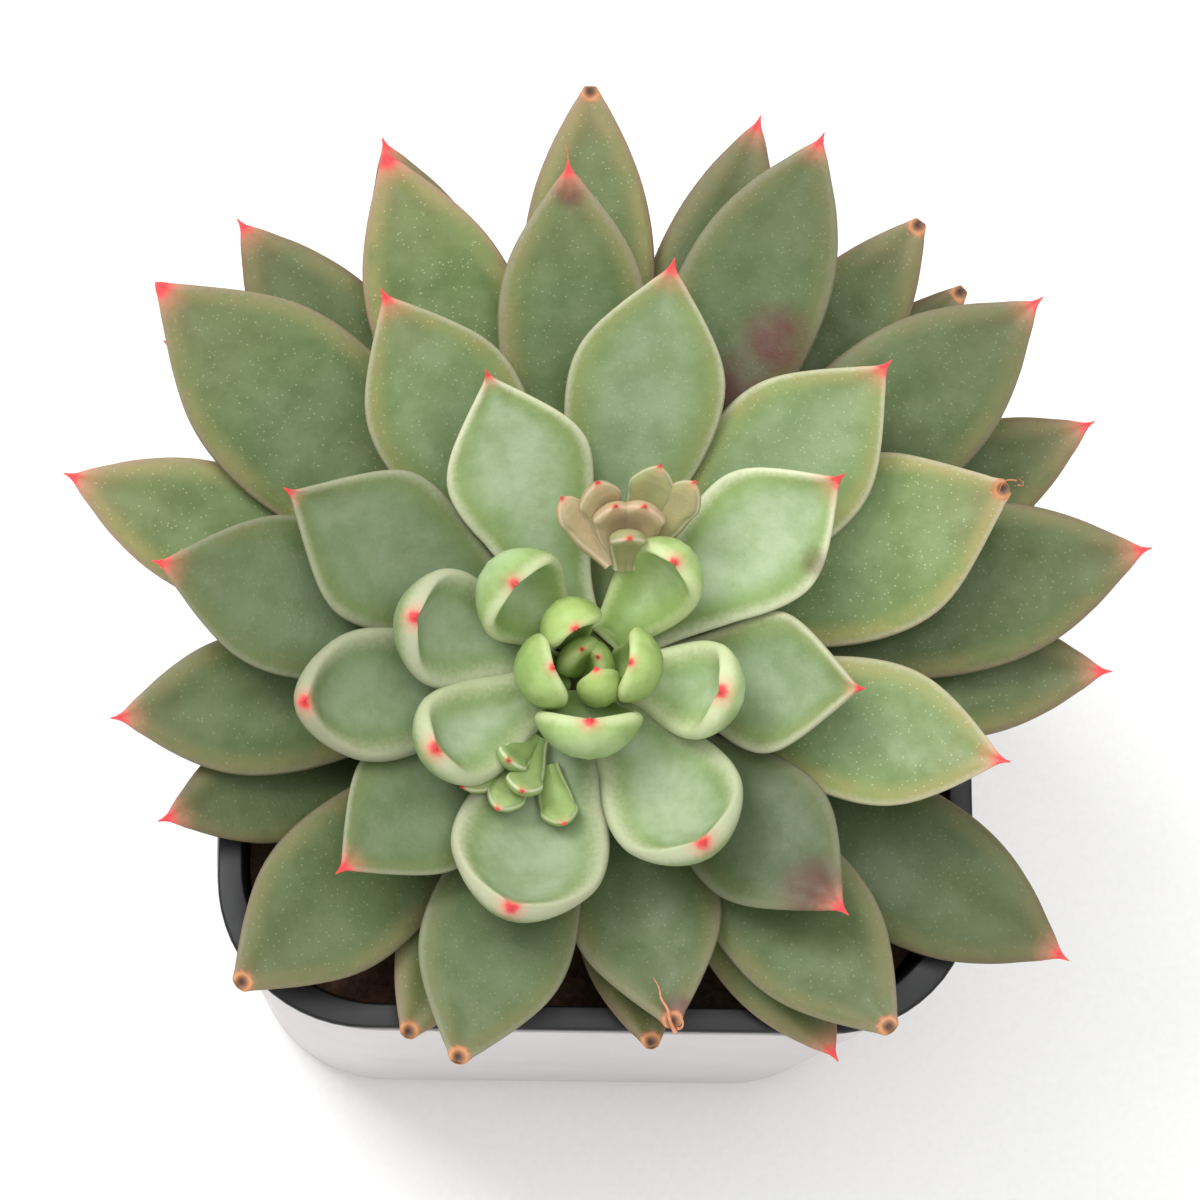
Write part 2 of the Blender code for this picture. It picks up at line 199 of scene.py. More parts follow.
def run_mm(line: np.ndarray) -> np.ndarray:
    """The distance in mm of each point of a line from its first, along the line."""
    return np.concatenate([[0.0], np.cumsum(np.linalg.norm(np.diff(line, axis=0), axis=1))]) / MM


def seat(piece: bpy.types.Object, slot: str, finish: bpy.types.Material, *nodes: str) -> None:
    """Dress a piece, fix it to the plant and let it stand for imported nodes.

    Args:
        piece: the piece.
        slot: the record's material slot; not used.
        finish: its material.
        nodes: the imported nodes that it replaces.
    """
    piece.data.materials.clear()
    piece.data.materials.append(finish)
    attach(piece, "root")
    if nodes:
        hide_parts(*nodes)
    log.info("%s: %d faces", piece.name, len(piece.data.polygons))


def smooth_step(low: float, high: float, values: np.ndarray) -> np.ndarray:
    """A soft 0 to 1 step of values between low and high."""
    share = np.clip((values - low) / (high - low), 0, 1)
    return share * share * (3 - 2 * share)


# ---------------------------------------------------------------- finishes


Stops = tuple[tuple[float, str], ...]


@dataclass(frozen=True)
class Ease:
    """A soft step: what it reads, between which readings it goes, and what it gives at each."""

    reads: str
    low: float = 0.0
    high: float = 1.0
    start: float = 0.0
    end: float = 1.0


@dataclass(frozen=True)
class Coat:
    """A colour laid over those under it.

    Attributes:
        colour: a hex colour, or the stops of a ramp.
        shares: its cover is the product of these: readings as they are, by name, or eased.
        along: what a ramp reads.
    """

    colour: str | Stops
    shares: tuple[str | Ease, ...]
    along: str = "age"


# what each leaf's points carry for its skin
FACTS = ("age", "tone_and_shade", "tip_mm", "edge_mm", "rim_mm", "upper", "patch", "scar", "blush", "along")
# flesh: bright yellow-green in the bud, sage in the middle leaves, olive in the oldest
FLESH: Stops = ((0.0, "A3BC6C"), (0.12, "9DB877"), (0.30, "8DA56C"), (0.55, "77904E"), (0.80, "6E8442"),
                (1.0, "6F7D4A"))
# the deeper green between the pale mottles, also laid on as painted shade at each leaf's base
DEEP: Stops = ((0.0, "7C9A4A"), (0.30, "68854A"), (0.60, "506A2C"), (1.0, "485E28"))
COATS = (
    Coat(DEEP, (Ease("mottle", 0.36, 0.68, 0.0, 0.55),)),
    # painted shade: the base of each leaf, which lies in shade under its neighbours, is painted deeper green
    # than the lit end
    Coat(DEEP, (Ease("along", 0.15, 0.75, 0.72, 0.0),)),
    # wax bloom: thickest in the middle of the upper face, thin on old leaves
    Coat(((0.0, "B9CC92"), (0.15, "C4D3B5"), (0.35, "A3B495"), (0.6, "8A9B72"), (1.0, "76875A")),
         (Ease("edge_mm", 1.4, 6.0), Ease("mottle", 0.25, 0.75, 1.0, 0.45), "upper",
          Ease("age", 0.15, 0.6, 0.82, 0.40))),
    # tan blush just inside the margin
    Coat("ADA468", (Ease("edge_mm", 0.2, 1.2), Ease("edge_mm", 1.2, 4.2, 1.0, 0.0),
                    Ease("age", 0.15, 0.6, 0.1, 0.75), Ease("mottle", 0.3, 0.6, 0.3, 1.0))),
    # warm sun blush over the last third of the older leaves: partly their own warm colour, partly painted
    # light that brightens the lit ends
    Coat("AC8A6C", (Ease("along", 0.60, 1.0, 0.0, 0.60), Ease("age", 0.2, 0.6),
                    Ease("mottle", 0.3, 0.6, 0.4, 1.0))),
    # pale cartilage margin
    Coat(((0.0, "BACB86"), (0.2, "DADBBD"), (0.45, "D6CCAE"), (0.7, "C6A18C"), (1.0, "B68C76")),
         (Ease("rim", 0.1, 1.5, 1.0, 0.0), Ease("age", 0.2, 0.5, 0.78, 0.66))),
    # pores: one pale pinpoint in each cell, drawn a little larger than real so that they show
    Coat("D9DDB4", (Ease("pore", 0.10, 0.20, 1.0, 0.0), Ease("age", 0.2, 0.5, 0.05, 0.42),
                    Ease("edge_mm", 0.4, 1.5))),
    # each leaf a little lighter or darker: partly its own tone, partly painted shade that darkens the leaves
    # lying in shade
    Coat("2E3B1B", (Ease("tone_and_shade", 0.0, 1.0, 0.74, 0.0),)),
    # pinkish tan of the small offsets
    Coat("D2A890", ("blush",)),
    # purple-brown weather blotches
    Coat("5E2F2C", ("patch", Ease("mottle", 0.25, 0.6, 0.55, 1.0))),
    # the halo of the red spine, and the spine
    Coat("D8806A", (Ease("reach", 1.0, 5.0, 0.55, 0.0),)),
    Coat("E03A44", (Ease("reach", 1.1, 2.7, 0.95, 0.0),)),
    # dried ring scar: tan rim, dark corky centre
    Coat(((0.0, "B06A4A"), (0.25, "C08A5C"), (0.5, "8A5A38"), (0.75, "4A2C20"), (1.0, "2E1B16")),
         (Ease("scar", 0.001, 0.12),), "scar"),
)


@dataclass(frozen=True)
class WaxyLeaf:
    """Echeveria skin: a thick green leaf under a matt wax bloom, with pale margins and red spines.

    The wax gives the eye a soft, nearly matt sheen and a blue-grey cast in the middle of young leaves.
    """

    name: str = "waxy_leaf_skin"
    pore_spacing_mm: float = 0.75
    mottle_mm: float = 5.0
    grain_mm: float = 0.6
    wrinkle_mm: float = 0.35
    wrinkle_depth: float = 0.00010
    swell_depth: float = 0.0006
    sheen: Ease = Ease("mottle", 0.3, 0.7, 0.44, 0.58)
    ragged_margin: Ease = Ease("fine", 0.3, 0.7, -0.12, 0.12)
    ragged_red: Ease = Ease("fine", 0.2, 0.8, -0.3, 0.3)

    @staticmethod
    def product(tree: bpy.types.NodeTree, read: dict[str, bpy.types.NodeSocket],
                shares: tuple[str | Ease, ...]) -> bpy.types.NodeSocket:
        """Multiply what a coat's cover depends on.

        Args:
            tree: the material's node tree.
            read: the readings, by name.
            shares: readings by name, or eased.

        Returns:
            The product.
        """
        total = None
        for share in shares:
            if isinstance(share, Ease):
                value = put(tree, "ShaderNodeMapRange", {"interpolation_type": "SMOOTHSTEP"}, {
                    "Value": read[share.reads], "From Min": share.low, "From Max": share.high,
                    "To Min": share.start, "To Max": share.end}).outputs["Result"]
            else:
                value = read[share]
            total = value if total is None else put(
                tree, "ShaderNodeMath", {"operation": "MULTIPLY"}, {0: total, 1: value}).outputs[0]
        return total

    def material(self) -> bpy.types.Material:
        """Build the material, which reads the attributes that every leaf carries."""
        made, tree, shader = blank_material(self.name)
        read = {fact: put(tree, "ShaderNodeAttribute", {"attribute_name": fact}).outputs["Fac"]
                for fact in FACTS}
        place = put(tree, "ShaderNodeTexCoord").outputs["Object"]
        noises = (("mottle", self.mottle_mm, 4.0, 0.6), ("fine", self.grain_mm, 3.0, 0.6),
                  ("cells", self.wrinkle_mm, 2.0, 0.5))
        for name, size_mm, detail, rough in noises:
            read[name] = put(tree, "ShaderNodeTexNoise", {}, {
                "Vector": place, "Scale": 1000 / size_mm, "Detail": detail,
                "Roughness": rough}).outputs["Fac"]
        read["pore"] = put(tree, "ShaderNodeTexVoronoi", {"feature": "F1"}, {
            "Vector": place, "Scale": 1000 / self.pore_spacing_mm, "Randomness": 1.0}).outputs["Distance"]
        # the margin in its own widths, and the red spine's reach, both with a ragged end
        widths = put(tree, "ShaderNodeMath", {"operation": "DIVIDE"}, {0: read["edge_mm"], 1: read["rim_mm"]})
        for name, clean, ragged in (("rim", widths.outputs[0], self.ragged_margin),
                                    ("reach", read["tip_mm"], self.ragged_red)):
            read[name] = put(tree, "ShaderNodeMath", {"operation": "ADD"}, {
                0: clean, 1: self.product(tree, read, (ragged,))}).outputs[0]
        colour = put(tree, "ShaderNodeValToRGB", {}, {"Fac": read["age"]}, FLESH).outputs["Color"]
        for coat in COATS:
            if isinstance(coat.colour, str):
                over = linear(coat.colour)
            else:
                ramp = put(tree, "ShaderNodeValToRGB", {}, {"Fac": read[coat.along]}, coat.colour)
                over = ramp.outputs["Color"]
            colour = put(tree, "ShaderNodeMix", {"data_type": "RGBA", "blend_type": "MIX"}, {
                0: self.product(tree, read, coat.shares), 6: colour, 7: over}).outputs[2]
        skin = put(tree, "ShaderNodeBump", {}, {
            "Strength": 0.22, "Distance": self.wrinkle_depth, "Height": read["cells"]})
        swell = put(tree, "ShaderNodeBump", {}, {
            "Strength": 0.35, "Distance": self.swell_depth, "Height": read["mottle"],
            "Normal": skin.outputs["Normal"]})
        tree.links.new(colour, shader.inputs["Base Color"])
        tree.links.new(self.product(tree, read, (self.sheen,)), shader.inputs["Roughness"])
        tree.links.new(swell.outputs["Normal"], shader.inputs["Normal"])
        for socket, value in (("IOR", 1.42), ("Subsurface Weight", 0.12), ("Subsurface Scale", 1.0),
                              ("Subsurface Radius", (0.0016, 0.0020, 0.0008))):
            shader.inputs[socket].default_value = value
        return made


@dataclass(frozen=True)
class PlainFinish:
    """A finish of two colours mixed by fine noise, for plastics, bark, fibre and soil."""

    name: str
    light: str
    dark: str
    grain_mm: float
    roughness: float
    bump_mm: float
    ior: float = 1.46
    stretch: tuple[float, float, float] = (1.0, 1.0, 1.0)

    def material(self) -> bpy.types.Material:
        """Build the material from noise at the real grain size."""
        made, tree, shader = blank_material(self.name)
        place = put(tree, "ShaderNodeTexCoord").outputs["Object"]
        turned = put(tree, "ShaderNodeMapping", {}, {"Vector": place, "Scale": self.stretch}).outputs[0]
        grain = put(tree, "ShaderNodeTexNoise", {}, {
            "Vector": turned, "Scale": 1000 / self.grain_mm, "Detail": 4.0, "Roughness": 0.65}).outputs["Fac"]
        broad = put(tree, "ShaderNodeTexNoise", {}, {
            "Vector": place, "Scale": 1000 / (self.grain_mm * 9), "Detail": 2.0}).outputs["Fac"]
        share = put(tree, "ShaderNodeMath", {"operation": "MULTIPLY"}, {0: grain, 1: broad}).outputs[0]
        colour = put(tree, "ShaderNodeValToRGB", {}, {"Fac": share}, ((0.12, self.dark), (0.42, self.light)))
        bump = put(tree, "ShaderNodeBump", {}, {
            "Strength": 0.5, "Distance": self.bump_mm * MM, "Height": grain})
        rough = put(tree, "ShaderNodeMapRange", {}, {
            "Value": grain, "To Min": self.roughness - 0.06, "To Max": self.roughness + 0.06})
        tree.links.new(colour.outputs["Color"], shader.inputs["Base Color"])
        tree.links.new(rough.outputs["Result"], shader.inputs["Roughness"])
        tree.links.new(bump.outputs["Normal"], shader.inputs["Normal"])
        shader.inputs["IOR"].default_value = self.ior
        return made


# polypropylene, moulded and slightly glossy: a white pot whose colour is greyed as painted shade for the
# shade under the leaves, with the faint ripple of the mould
WHITE_POT_IN_PAINTED_SHADE = PlainFinish("moulded_white_polypropylene_in_painted_shade", "CFC9CA", "C6C0C1", 1.2, 0.34, 0.012, 1.49,
                        (0.05, 0.05, 1.0))
# thin vacuum-formed polystyrene: a dull black with a soft edge sheen
BLACK_LINER = PlainFinish("vacuum_formed_black_polystyrene", "17181B", "0B0C0D", 0.8, 0.46, 0.03, 1.45)
# peat: dark, damp and crumbly
PEAT = PlainFinish("damp_peat", "6B4B38", "2A1A12", 1.1, 0.92, 0.35, 1.45)
# pine bark: rust-brown chips with pale edges
BARK = PlainFinish("pine_bark", "B07848", "4A2A1C", 0.9, 0.85, 0.2, 1.45)
# coconut fibre: straw to orange-brown hairs
COIR = PlainFinish("coir_fibre", "E6C193", "B5763C", 0.6, 0.75, 0.03, 1.45)
# corky green stem
STALK = PlainFinish("corky_stem", "8A8C58", "56602F", 1.4, 0.7, 0.2, 1.45)
# dried spine: stiff straw-orange hair
STRAW = PlainFinish("dried_spine", "E9A98A", "B5653F", 0.5, 0.6, 0.02, 1.45)


# ---------------------------------------------------------------- leaves


class TipKind(Enum):
    """How a leaf ends. Each value lists half-widths in mm at distances in mm from the tip."""

    SPINE = ((0.0, 0.07), (0.8, 0.22), (1.6, 0.55), (2.4, 1.2), (3.6, 2.4), (5.5, 4.2), (8.0, 6.8),
             (12.0, 12.0))
    STUB = ((0.0, 0.07), (0.6, 0.25), (1.0, 0.75), (1.4, 1.9), (2.2, 4.0), (4.0, 7.5), (8.0, 14.0))
    SCAR = ((0.0, 1.25), (1.5, 1.25), (2.6, 1.9), (4.0, 3.2), (7.0, 6.0), (12.0, 12.0))
    BLUNT = ((0.0, 0.45), (0.6, 0.75), (1.5, 1.3), (3.0, 2.6), (6.0, 5.2), (12.0, 12.0))
    BUD = ((0.0, 0.06), (0.5, 0.25), (0.9, 1.0), (1.5, 3.0), (4.0, 8.0))
    LEAFLET = ((0.0, 0.05), (0.4, 0.16), (0.9, 0.6), (1.6, 1.5), (3.0, 3.0), (5.0, 6.0))


# corners of a leaf's cross-section: shares of its half-width and of its thickness
SECTION = ((-1, 0), (-.58, -.5), (0, -.86), (.58, -.5), (1, 0), (.55, .2), (0, .08), (-.55, .2))
# half the thickness that a plump young leaf keeps, in mm, at distances in mm from the tip
PLUMP_END = ((0.0, 0.0), (0.7, 0.25), (1.1, 0.9), (1.8, 1.5), (3.0, 1.9), (6.0, 2.2), (12.0, 2.2))


@dataclass(frozen=True)
class Patch:
    """A discoloured spot on a leaf: share along it, share across it, radius and strength."""

    along: float
    across: float
    radius_mm: float
    strength: float


@dataclass(frozen=True)
class LeafNote:
    """What sets one leaf apart from its neighbours.

    Attributes:
        tip: how it ends.
        rim_mm: the width of its pale margin.
        patches: its blotches.
        plump: how far it has a young leaf's thick, rounded section.
        red_mm: the scale of its red spine.
        curl_mm: the length of its end that rolls up.
        cup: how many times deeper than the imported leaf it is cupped.
    """

    tip: TipKind = TipKind.SPINE
    rim_mm: float = 0.9
    patches: tuple[Patch, ...] = ()
    plump: float = 0.0
    red_mm: float = 1.2
    curl_mm: float = 0.0
    cup: float = 1.0


SCARRED = (23, 28, 30, 34, 38, 41, 44, 49, 51)
BROAD_RIMMED = (8, 9, 10, 11, 13, 15)
NOTES: dict[int, LeafNote] = {number: LeafNote(TipKind.SCAR) for number in SCARRED}
NOTES |= {number: LeafNote(TipKind.BUD, 1.0, plump=0.8, red_mm=0.4, cup=1.25) for number in (1, 2, 3, 4)}
NOTES |= {number: LeafNote(TipKind.STUB, 1.2, plump=0.85, red_mm=0.55, curl_mm=5.0, cup=1.7)
          for number in (5, 7)}
NOTES[6] = replace(NOTES[5], cup=1.1)
NOTES |= {number: LeafNote(TipKind.STUB, 2.4, plump=0.85, red_mm=0.7, curl_mm=6.5, cup=1.5)
          for number in BROAD_RIMMED}
NOTES |= {number: LeafNote(TipKind.SPINE, 1.3, plump=0.3, red_mm=0.8) for number in (14, 16, 17)}
NOTES |= {number: LeafNote(TipKind.BLUNT) for number in (33, 39)}
NOTES[12] = LeafNote(TipKind.SPINE, 1.5, (Patch(0.72, -0.85, 2.2, 0.5),), plump=0.3)
NOTES[20] = LeafNote(TipKind.SPINE, 1.3, (Patch(0.86, -0.2, 5.0, 0.75),))
NOTES[26] = LeafNote(TipKind.SPINE, 1.2, (Patch(0.61, -0.55, 5.0, 0.95), Patch(0.48, -0.4, 6.0, 0.85)))
NOTES[27] = LeafNote(TipKind.SCAR, 1.3, (Patch(0.93, 0.5, 2.0, 0.8),))
NOTES[29] = LeafNote(TipKind.SPINE, 1.2, (Patch(0.93, 0.0, 2.2, 0.85),))


# how light a leaf is beside others of its age, from the deepest green to the palest: partly the leaf's own
# tone, partly painted shade on leaves that lie in shade
TONES_AND_PAINTED_SHADES = {
    0.05: (20, 40, 47, 52),
    0.25: (18, 21, 23, 26, 27, 30, 31, 32, 34, 37, 49),
    0.4: (15, 16, 29, 33, 41, 45, 50),
    0.6: (9, 10, 11, 13, 17, 19, 24, 36, 39, 44),
    0.8: (14, 22, 25, 28),
    1.0: (1, 2, 3, 4, 5, 6, 7, 8, 12),
}
TONE_AND_SHADE_OF = {number: shade for shade, numbers in TONES_AND_PAINTED_SHADES.items() for number in numbers}
OTHER_TONE_AND_SHADE = 0.35


@dataclass
class LeafBlank:
    """The sphere that every leaf is shaped from: one pole is the base and the other is the tip."""

    columns: int = 40
    rows: int = 56

    def build(self) -> bpy.types.Object:
        """Model the blank once.

        Returns:
            The sphere, with its rows and columns found for each vertex.
        """
        deselect()
        bpy.ops.mesh.primitive_uv_sphere_add(segments=self.columns, ring_count=self.rows, radius=1.0)
        self.sphere = bpy.context.object
        self.sphere.data.shade_smooth()
        spots = points_of(self.sphere.data)
        polar = np.arccos(np.clip(spots[:, 2], -1, 1))
        around = np.arctan2(spots[:, 1], spots[:, 0])
        self.row = np.rint(polar / math.pi * self.rows).astype(int)
        self.column = np.rint(around / (2 * math.pi) * self.columns).astype(int) % self.columns
        return self.sphere

    def shaped(self, name: str, surface: np.ndarray, facts: dict[str, np.ndarray]) -> bpy.types.Object:
        """Copy the blank onto a surface.

        Args:
            name: the piece's name.
            surface: a point for each row and column.
            facts: values for each row and column, by attribute name.

        Returns:
            The piece.
        """
        piece = own_copy(self.sphere, name)
        mesh = piece.data
        mesh.vertices.foreach_set("co", surface[self.row, self.column].ravel())
        for key, values in facts.items():
            mesh.attributes.new(key, "FLOAT", "POINT").data.foreach_set(
                "value", values[self.row, self.column].astype(np.float32))
        mesh.update()
        return piece


def through(points: np.ndarray, places: np.ndarray, closed: bool = False) -> np.ndarray:
    """Read a smooth curve that passes through points.

    Args:
        points: the points, one row each.
        places: where to read, in steps of one point.
        closed: the curve joins its own start.

    Returns:
        One reading for each place.
    """
    count = len(points)
    step = np.floor(places).astype(int)
    if not closed:
        step = np.clip(step, 0, count - 2)
    share = (places - step).reshape(-1, *([1] * (points.ndim - 1)))
    if closed:
        near = [points[(step + k) % count] for k in (-1, 0, 1, 2)]
    else:
        padded = np.concatenate([[2 * points[0] - points[1]], points, [2 * points[-1] - points[-2]]])
        near = [padded[step + k + 1] for k in (-1, 0, 1, 2)]
    a, b, c, d = near
    return 0.5 * (2 * b + (c - a) * share + (2 * a - 5 * b + 4 * c - d) * share ** 2
                  + (3 * b - a - 3 * c + d) * share ** 3)


class PackedBlade:
    """The rings of one packed leaf, read back from its solid, base first."""

    RING = 8

    def __init__(self, node: bpy.types.Object, centre: Vector) -> None:
        """Read the solid.

        Args:
            node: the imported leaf, which stays as it is.
            centre: a point of the stem's axis, to tell left from right.
        """
        spots = points_of(node.data)
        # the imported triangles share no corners, so corners in the same place are taken as one
        _, first, same = np.unique(np.round(spots, 6), axis=0, return_index=True, return_inverse=True)
        same = same.ravel()
        points = spots[first]
        faces = [tuple(int(same[v]) for v in face.vertices) for face in node.data.polygons]
        near: list[set[int]] = [set() for _ in points]
        for face in faces:
            for corner in face:
                near[corner] |= set(face) - {corner}
        levels = self.levels_from_tip(near)
        self.tip = points[levels[0][0]]
        rings = []
        for inner, members in zip(levels, levels[1:]):
            rings.append(self.in_order(members, set(members), set(inner), faces))
        placed = [points[rings[0]]]
        for ring in rings[1:]:
            placed.append(self.lined_up(points[ring], placed[-1]))
        self.rings = self.turned(np.array(placed[::-1]), np.array(centre))

    def levels_from_tip(self, near: list[set[int]]) -> list[list[int]]:
        """Walk out from each possible tip until the walk meets whole rings only."""
        for start, around in enumerate(near):
            if len(around) != self.RING:
                continue
            seen, levels = {start}, [[start]]
            while True:
                found = sorted({n for v in levels[-1] for n in near[v]} - seen)
                if not found:
                    break
                seen |= set(found)
                levels.append(found)
            if all(len(level) == self.RING for level in levels[1:]) and len(levels) > 3:
                return levels
        raise ValueError("the packed leaf has no tip")

    def in_order(self, members: list[int], ring: set[int], inner: set[int],
                 faces: list[tuple[int, ...]]) -> list[int]:
        """Order a ring's corners by the edges that it shares with the ring nearer the tip."""
        links: dict[int, set[int]] = {m: set() for m in members}
        for face in faces:
            mine = [v for v in face if v in ring]
            if len(mine) == 2 and any(v in inner for v in face):
                links[mine[0]].add(mine[1])
                links[mine[1]].add(mine[0])
        order = [members[0]]
        while len(order) < self.RING:
            order.append(next(v for v in sorted(links[order[-1]]) if v not in order))
        return order

    def lined_up(self, ring: np.ndarray, beside: np.ndarray) -> np.ndarray:
        """Turn or mirror a ring until its corners face those of the next one."""
        shift = beside.mean(0) - ring.mean(0)
        choices = [np.roll(way, turn, axis=0) for way in (ring, ring[::-1]) for turn in range(self.RING)]
        return min(choices, key=lambda choice: float(((choice + shift - beside) ** 2).sum()))

    def turned(self, rings: np.ndarray, centre: np.ndarray) -> np.ndarray:
        """Put the clockwise margin first and the keel third in every ring."""
        spans = [np.linalg.norm(rings[:, i] - rings[:, i + 4], axis=1).max() for i in range(4)]
        rings = np.roll(rings, -int(np.argmax(spans)), axis=1)
        chord = (rings[:, 0] + rings[:, 4]) / 2
        upper, lower = (np.linalg.norm(rings[:, i] - chord, axis=1).mean() for i in (6, 2))
        if upper > lower:
            rings = np.roll(rings, 4, axis=1)
        wide = int(np.argmax(np.linalg.norm(rings[:, 0] - rings[:, 4], axis=1)))
        out = rings[wide].mean(0) - centre
        across = rings[wide, 4] - rings[wide, 0]
        if out[0] * across[1] - out[1] * across[0] < 0:
            rings = rings[:, [4, 3, 2, 1, 0, 7, 6, 5]]
        return rings


# the foot is closed flat by the rows past the first ring, over this many steps of one ring
FOOT = 0.6
# a plump leaf has this share of its greatest half-width at its foot, and gains the second by the third,
# which is a share of its length
FOOT_SHARE, FOOT_GAIN, FOOT_END = 0.50, 0.30, 0.5
# a plump foot is never broader than this many packed ones
FOOT_LIMIT = 2.2
# a plump section is at most this thick beside its width; the power squares it, and 1 would be an ellipse
PLUMP_LIMIT, PLUMP_POWER = 0.9, 0.7
# from this plumpness up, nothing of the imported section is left
PLUMP_WHOLE = 0.6
# nearer the tip, directions are kept from the first row with this half-thickness, or this width, in mm
THICK_MM, WIDE_MM = 0.4, 1.0
# the outline is faired over so many rows each way, with this spread; it comes in between these distances
# from the tip, in mm
FAIR_ROWS, FAIR_SPREAD, FAIR_FROM_MM, FAIR_TO_MM = 7, 2.8, 2.0, 6.0
# a scarred leaf is cut off here, and its end is a raised ring round a sunk middle
CUT_MM, DISH_SHARE, RING_MM, SUNK_MM = 1.3, 0.55, 0.25, 0.35
# the radius of the dried scar, and how far its red is drawn back
SCAR_MM, SCAR_RED_MM = 1.5, 2.4
# how much bloom the underside of a rolled leaf has, beside its upper face
UNDER_BLOOM = 0.6
# a blotch fades out between 0.3 and this many of its radii
PATCH_REACH = 1.3


@dataclass
class Leaf:
    """One leaf: its rings, how it ends and how old it is."""

    name: str
    rings: np.ndarray
    tip: np.ndarray
    note: LeafNote
    age: float
    tone_and_shade: float
    blush: float = 0.0
    needle_mm: float = 1.2

    def build(self, blank: LeafBlank) -> bpy.types.Object:
        """Shape the blank to this leaf.

        Args:
            blank: the shared sphere.

        Returns:
            The leaf.
        """
        rows, columns = blank.rows, blank.columns
        last = len(self.rings)
        along = last + FOOT - (last + FOOT) * np.linspace(0, 1, rows + 1) - FOOT
        knots = np.concatenate([self.rings, np.repeat(self.tip[None, None], self.rings.shape[1], axis=1)])
        lines = through(knots, np.clip(along, 0, None))
        around = np.arange(columns) / columns * self.rings.shape[1]
        surface = np.array([through(line, around, closed=True) for line in lines])
        closing = np.clip(1 + along / FOOT, 0, 1)[:, None, None]
        base = self.rings[0].mean(0)
        surface = np.where(along[:, None, None] < 0, base + (surface - base) * closing, surface)
        if self.note.plump:
            surface, lines = self.plumped(surface, lines, around)
        left, right = lines[:, 0], lines[:, self.rings.shape[1] // 2]
        surface = self.end_shaped(surface, (left + right) / 2, right - left)
        facts = self.facts(surface, around)
        if self.note.curl_mm:
            surface = self.curled(surface)
        return blank.shaped(self.name, surface, facts)

    def plumped(self, surface: np.ndarray, lines: np.ndarray,
                around: np.ndarray) -> tuple[np.ndarray, np.ndarray]:
        """Give a young leaf its thick rounded margins and a broad foot.

        Args:
            surface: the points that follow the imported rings.
            lines: the ring corners of each row.
            around: each column's place round the section.

        Returns:
            The fuller points and the ring corners, spread where the foot is broader.
        """
        middle = (lines[:, 0] + lines[:, 4]) / 2
        half = np.linalg.norm(lines[:, 4] - lines[:, 0], axis=1) / 2
        away = run_mm(middle)
        run = 1 - away / away[-1]
        widest = int(np.argmax(half))
        broad = half.max() * (FOOT_SHARE + FOOT_GAIN * smooth_step(0.0, FOOT_END, run))
        share = np.where(np.arange(len(half)) > widest, np.maximum(broad, half) / np.maximum(half, 1e-6), 1.0)
        lines = middle[:, None] + (lines - middle[:, None]) * np.clip(share, 1.0, FOOT_LIMIT)[:, None, None]
        reach = (lines[:, 4] - lines[:, 0]) / 2
        sunk = ((lines[:, 2] + lines[:, 6]) / 2 - middle) * self.note.cup
        own = np.linalg.norm(lines[:, 6] - lines[:, 2], axis=1) / 2
        face = unit(lines[:, 6] - lines[:, 2])
        good = max(1, int(np.argmax(own > THICK_MM * MM)))
        face[:good] = face[good]
        stops = np.array(PLUMP_END)
        fuller = np.interp(away, stops[:, 0], stops[:, 1]) * MM * self.note.plump
        deep = np.minimum(np.maximum(own, fuller), np.linalg.norm(reach, axis=1) * PLUMP_LIMIT + 1e-7)
        turn = around / len(lines[0]) * 2 * math.pi
        across, above = (-np.sign(way) * np.abs(way) ** PLUMP_POWER for way in (np.cos(turn), np.sin(turn)))
        bed = (middle[:, None] + reach[:, None] * across[None, :, None]
               + sunk[:, None] * (1 - across ** 2)[None, :, None])
        slope = unit(reach[:, None] - 2 * across[None, :, None] * sunk[:, None])
        upward = unit(face[:, None] - (face[:, None] * slope).sum(2)[..., None] * slope)
        full = bed + upward * (above[None, :] * deep[:, None])[..., None]
        weight = min(1.0, self.note.plump / PLUMP_WHOLE)
        return surface * (1 - weight) + full * weight, lines

    def curled(self, surface: np.ndarray, turn: float = 0.60) -> np.ndarray:
        """Roll the end of a leaf up, so that its spine stands on the thick rim.

        Args:
            surface: the finished points.
            turn: how far the very tip turns, in radians.

        Returns:
            The rolled points.
        """
        quarter = surface.shape[1] // 4
        middle = (surface[:, 0] + surface[:, 2 * quarter]) / 2
        away = run_mm(middle)
        start = int(np.argmax(away > self.note.curl_mm))
        side = unit(surface[start, 2 * quarter] - surface[start, 0])
        ahead = middle[start - 1] - middle[start + 2]
        ahead = unit(ahead - side * float(ahead @ side))
        upper = surface[start, 3 * quarter] - surface[start, quarter]
        upper = unit(upper - side * float(upper @ side) - ahead * float(upper @ ahead))
        axes = np.array([ahead, upper, side])
        rolled = surface.copy()
        spot = middle[start]
        for row in range(start - 1, -1, -1):
            angle = (1 - away[row] / self.note.curl_mm) * turn
            level, rise = math.cos(angle), math.sin(angle)
            swing = axes.T @ np.array([[level, -rise, 0], [rise, level, 0], [0, 0, 1]]) @ axes
            spot = spot + swing @ (middle[row] - middle[row + 1])
            rolled[row] = spot + (surface[row] - middle[row]) @ swing.T
        return rolled

    def end_shaped(self, surface: np.ndarray, middle: np.ndarray, chord: np.ndarray) -> np.ndarray:
        """Narrow the leaf towards its tip as its kind of tip asks, and cut scarred leaves short.

        Args:
            surface: the leaf's points.
            middle: the middle of each row.
            chord: each row's way from its left margin to its right one.

        Returns:
            The points with the finished end.
        """
        away = run_mm(middle)
        width = np.linalg.norm(chord, axis=1)
        side = unit(chord)
        good = max(1, int(np.argmax(width > WIDE_MM * MM)))
        side[:good] = side[good]
        stops = np.array(self.note.tip.value)
        limit = np.interp(away, stops[:, 0], stops[:, 1]) * MM
        own = np.maximum(width / 2, 1e-7)
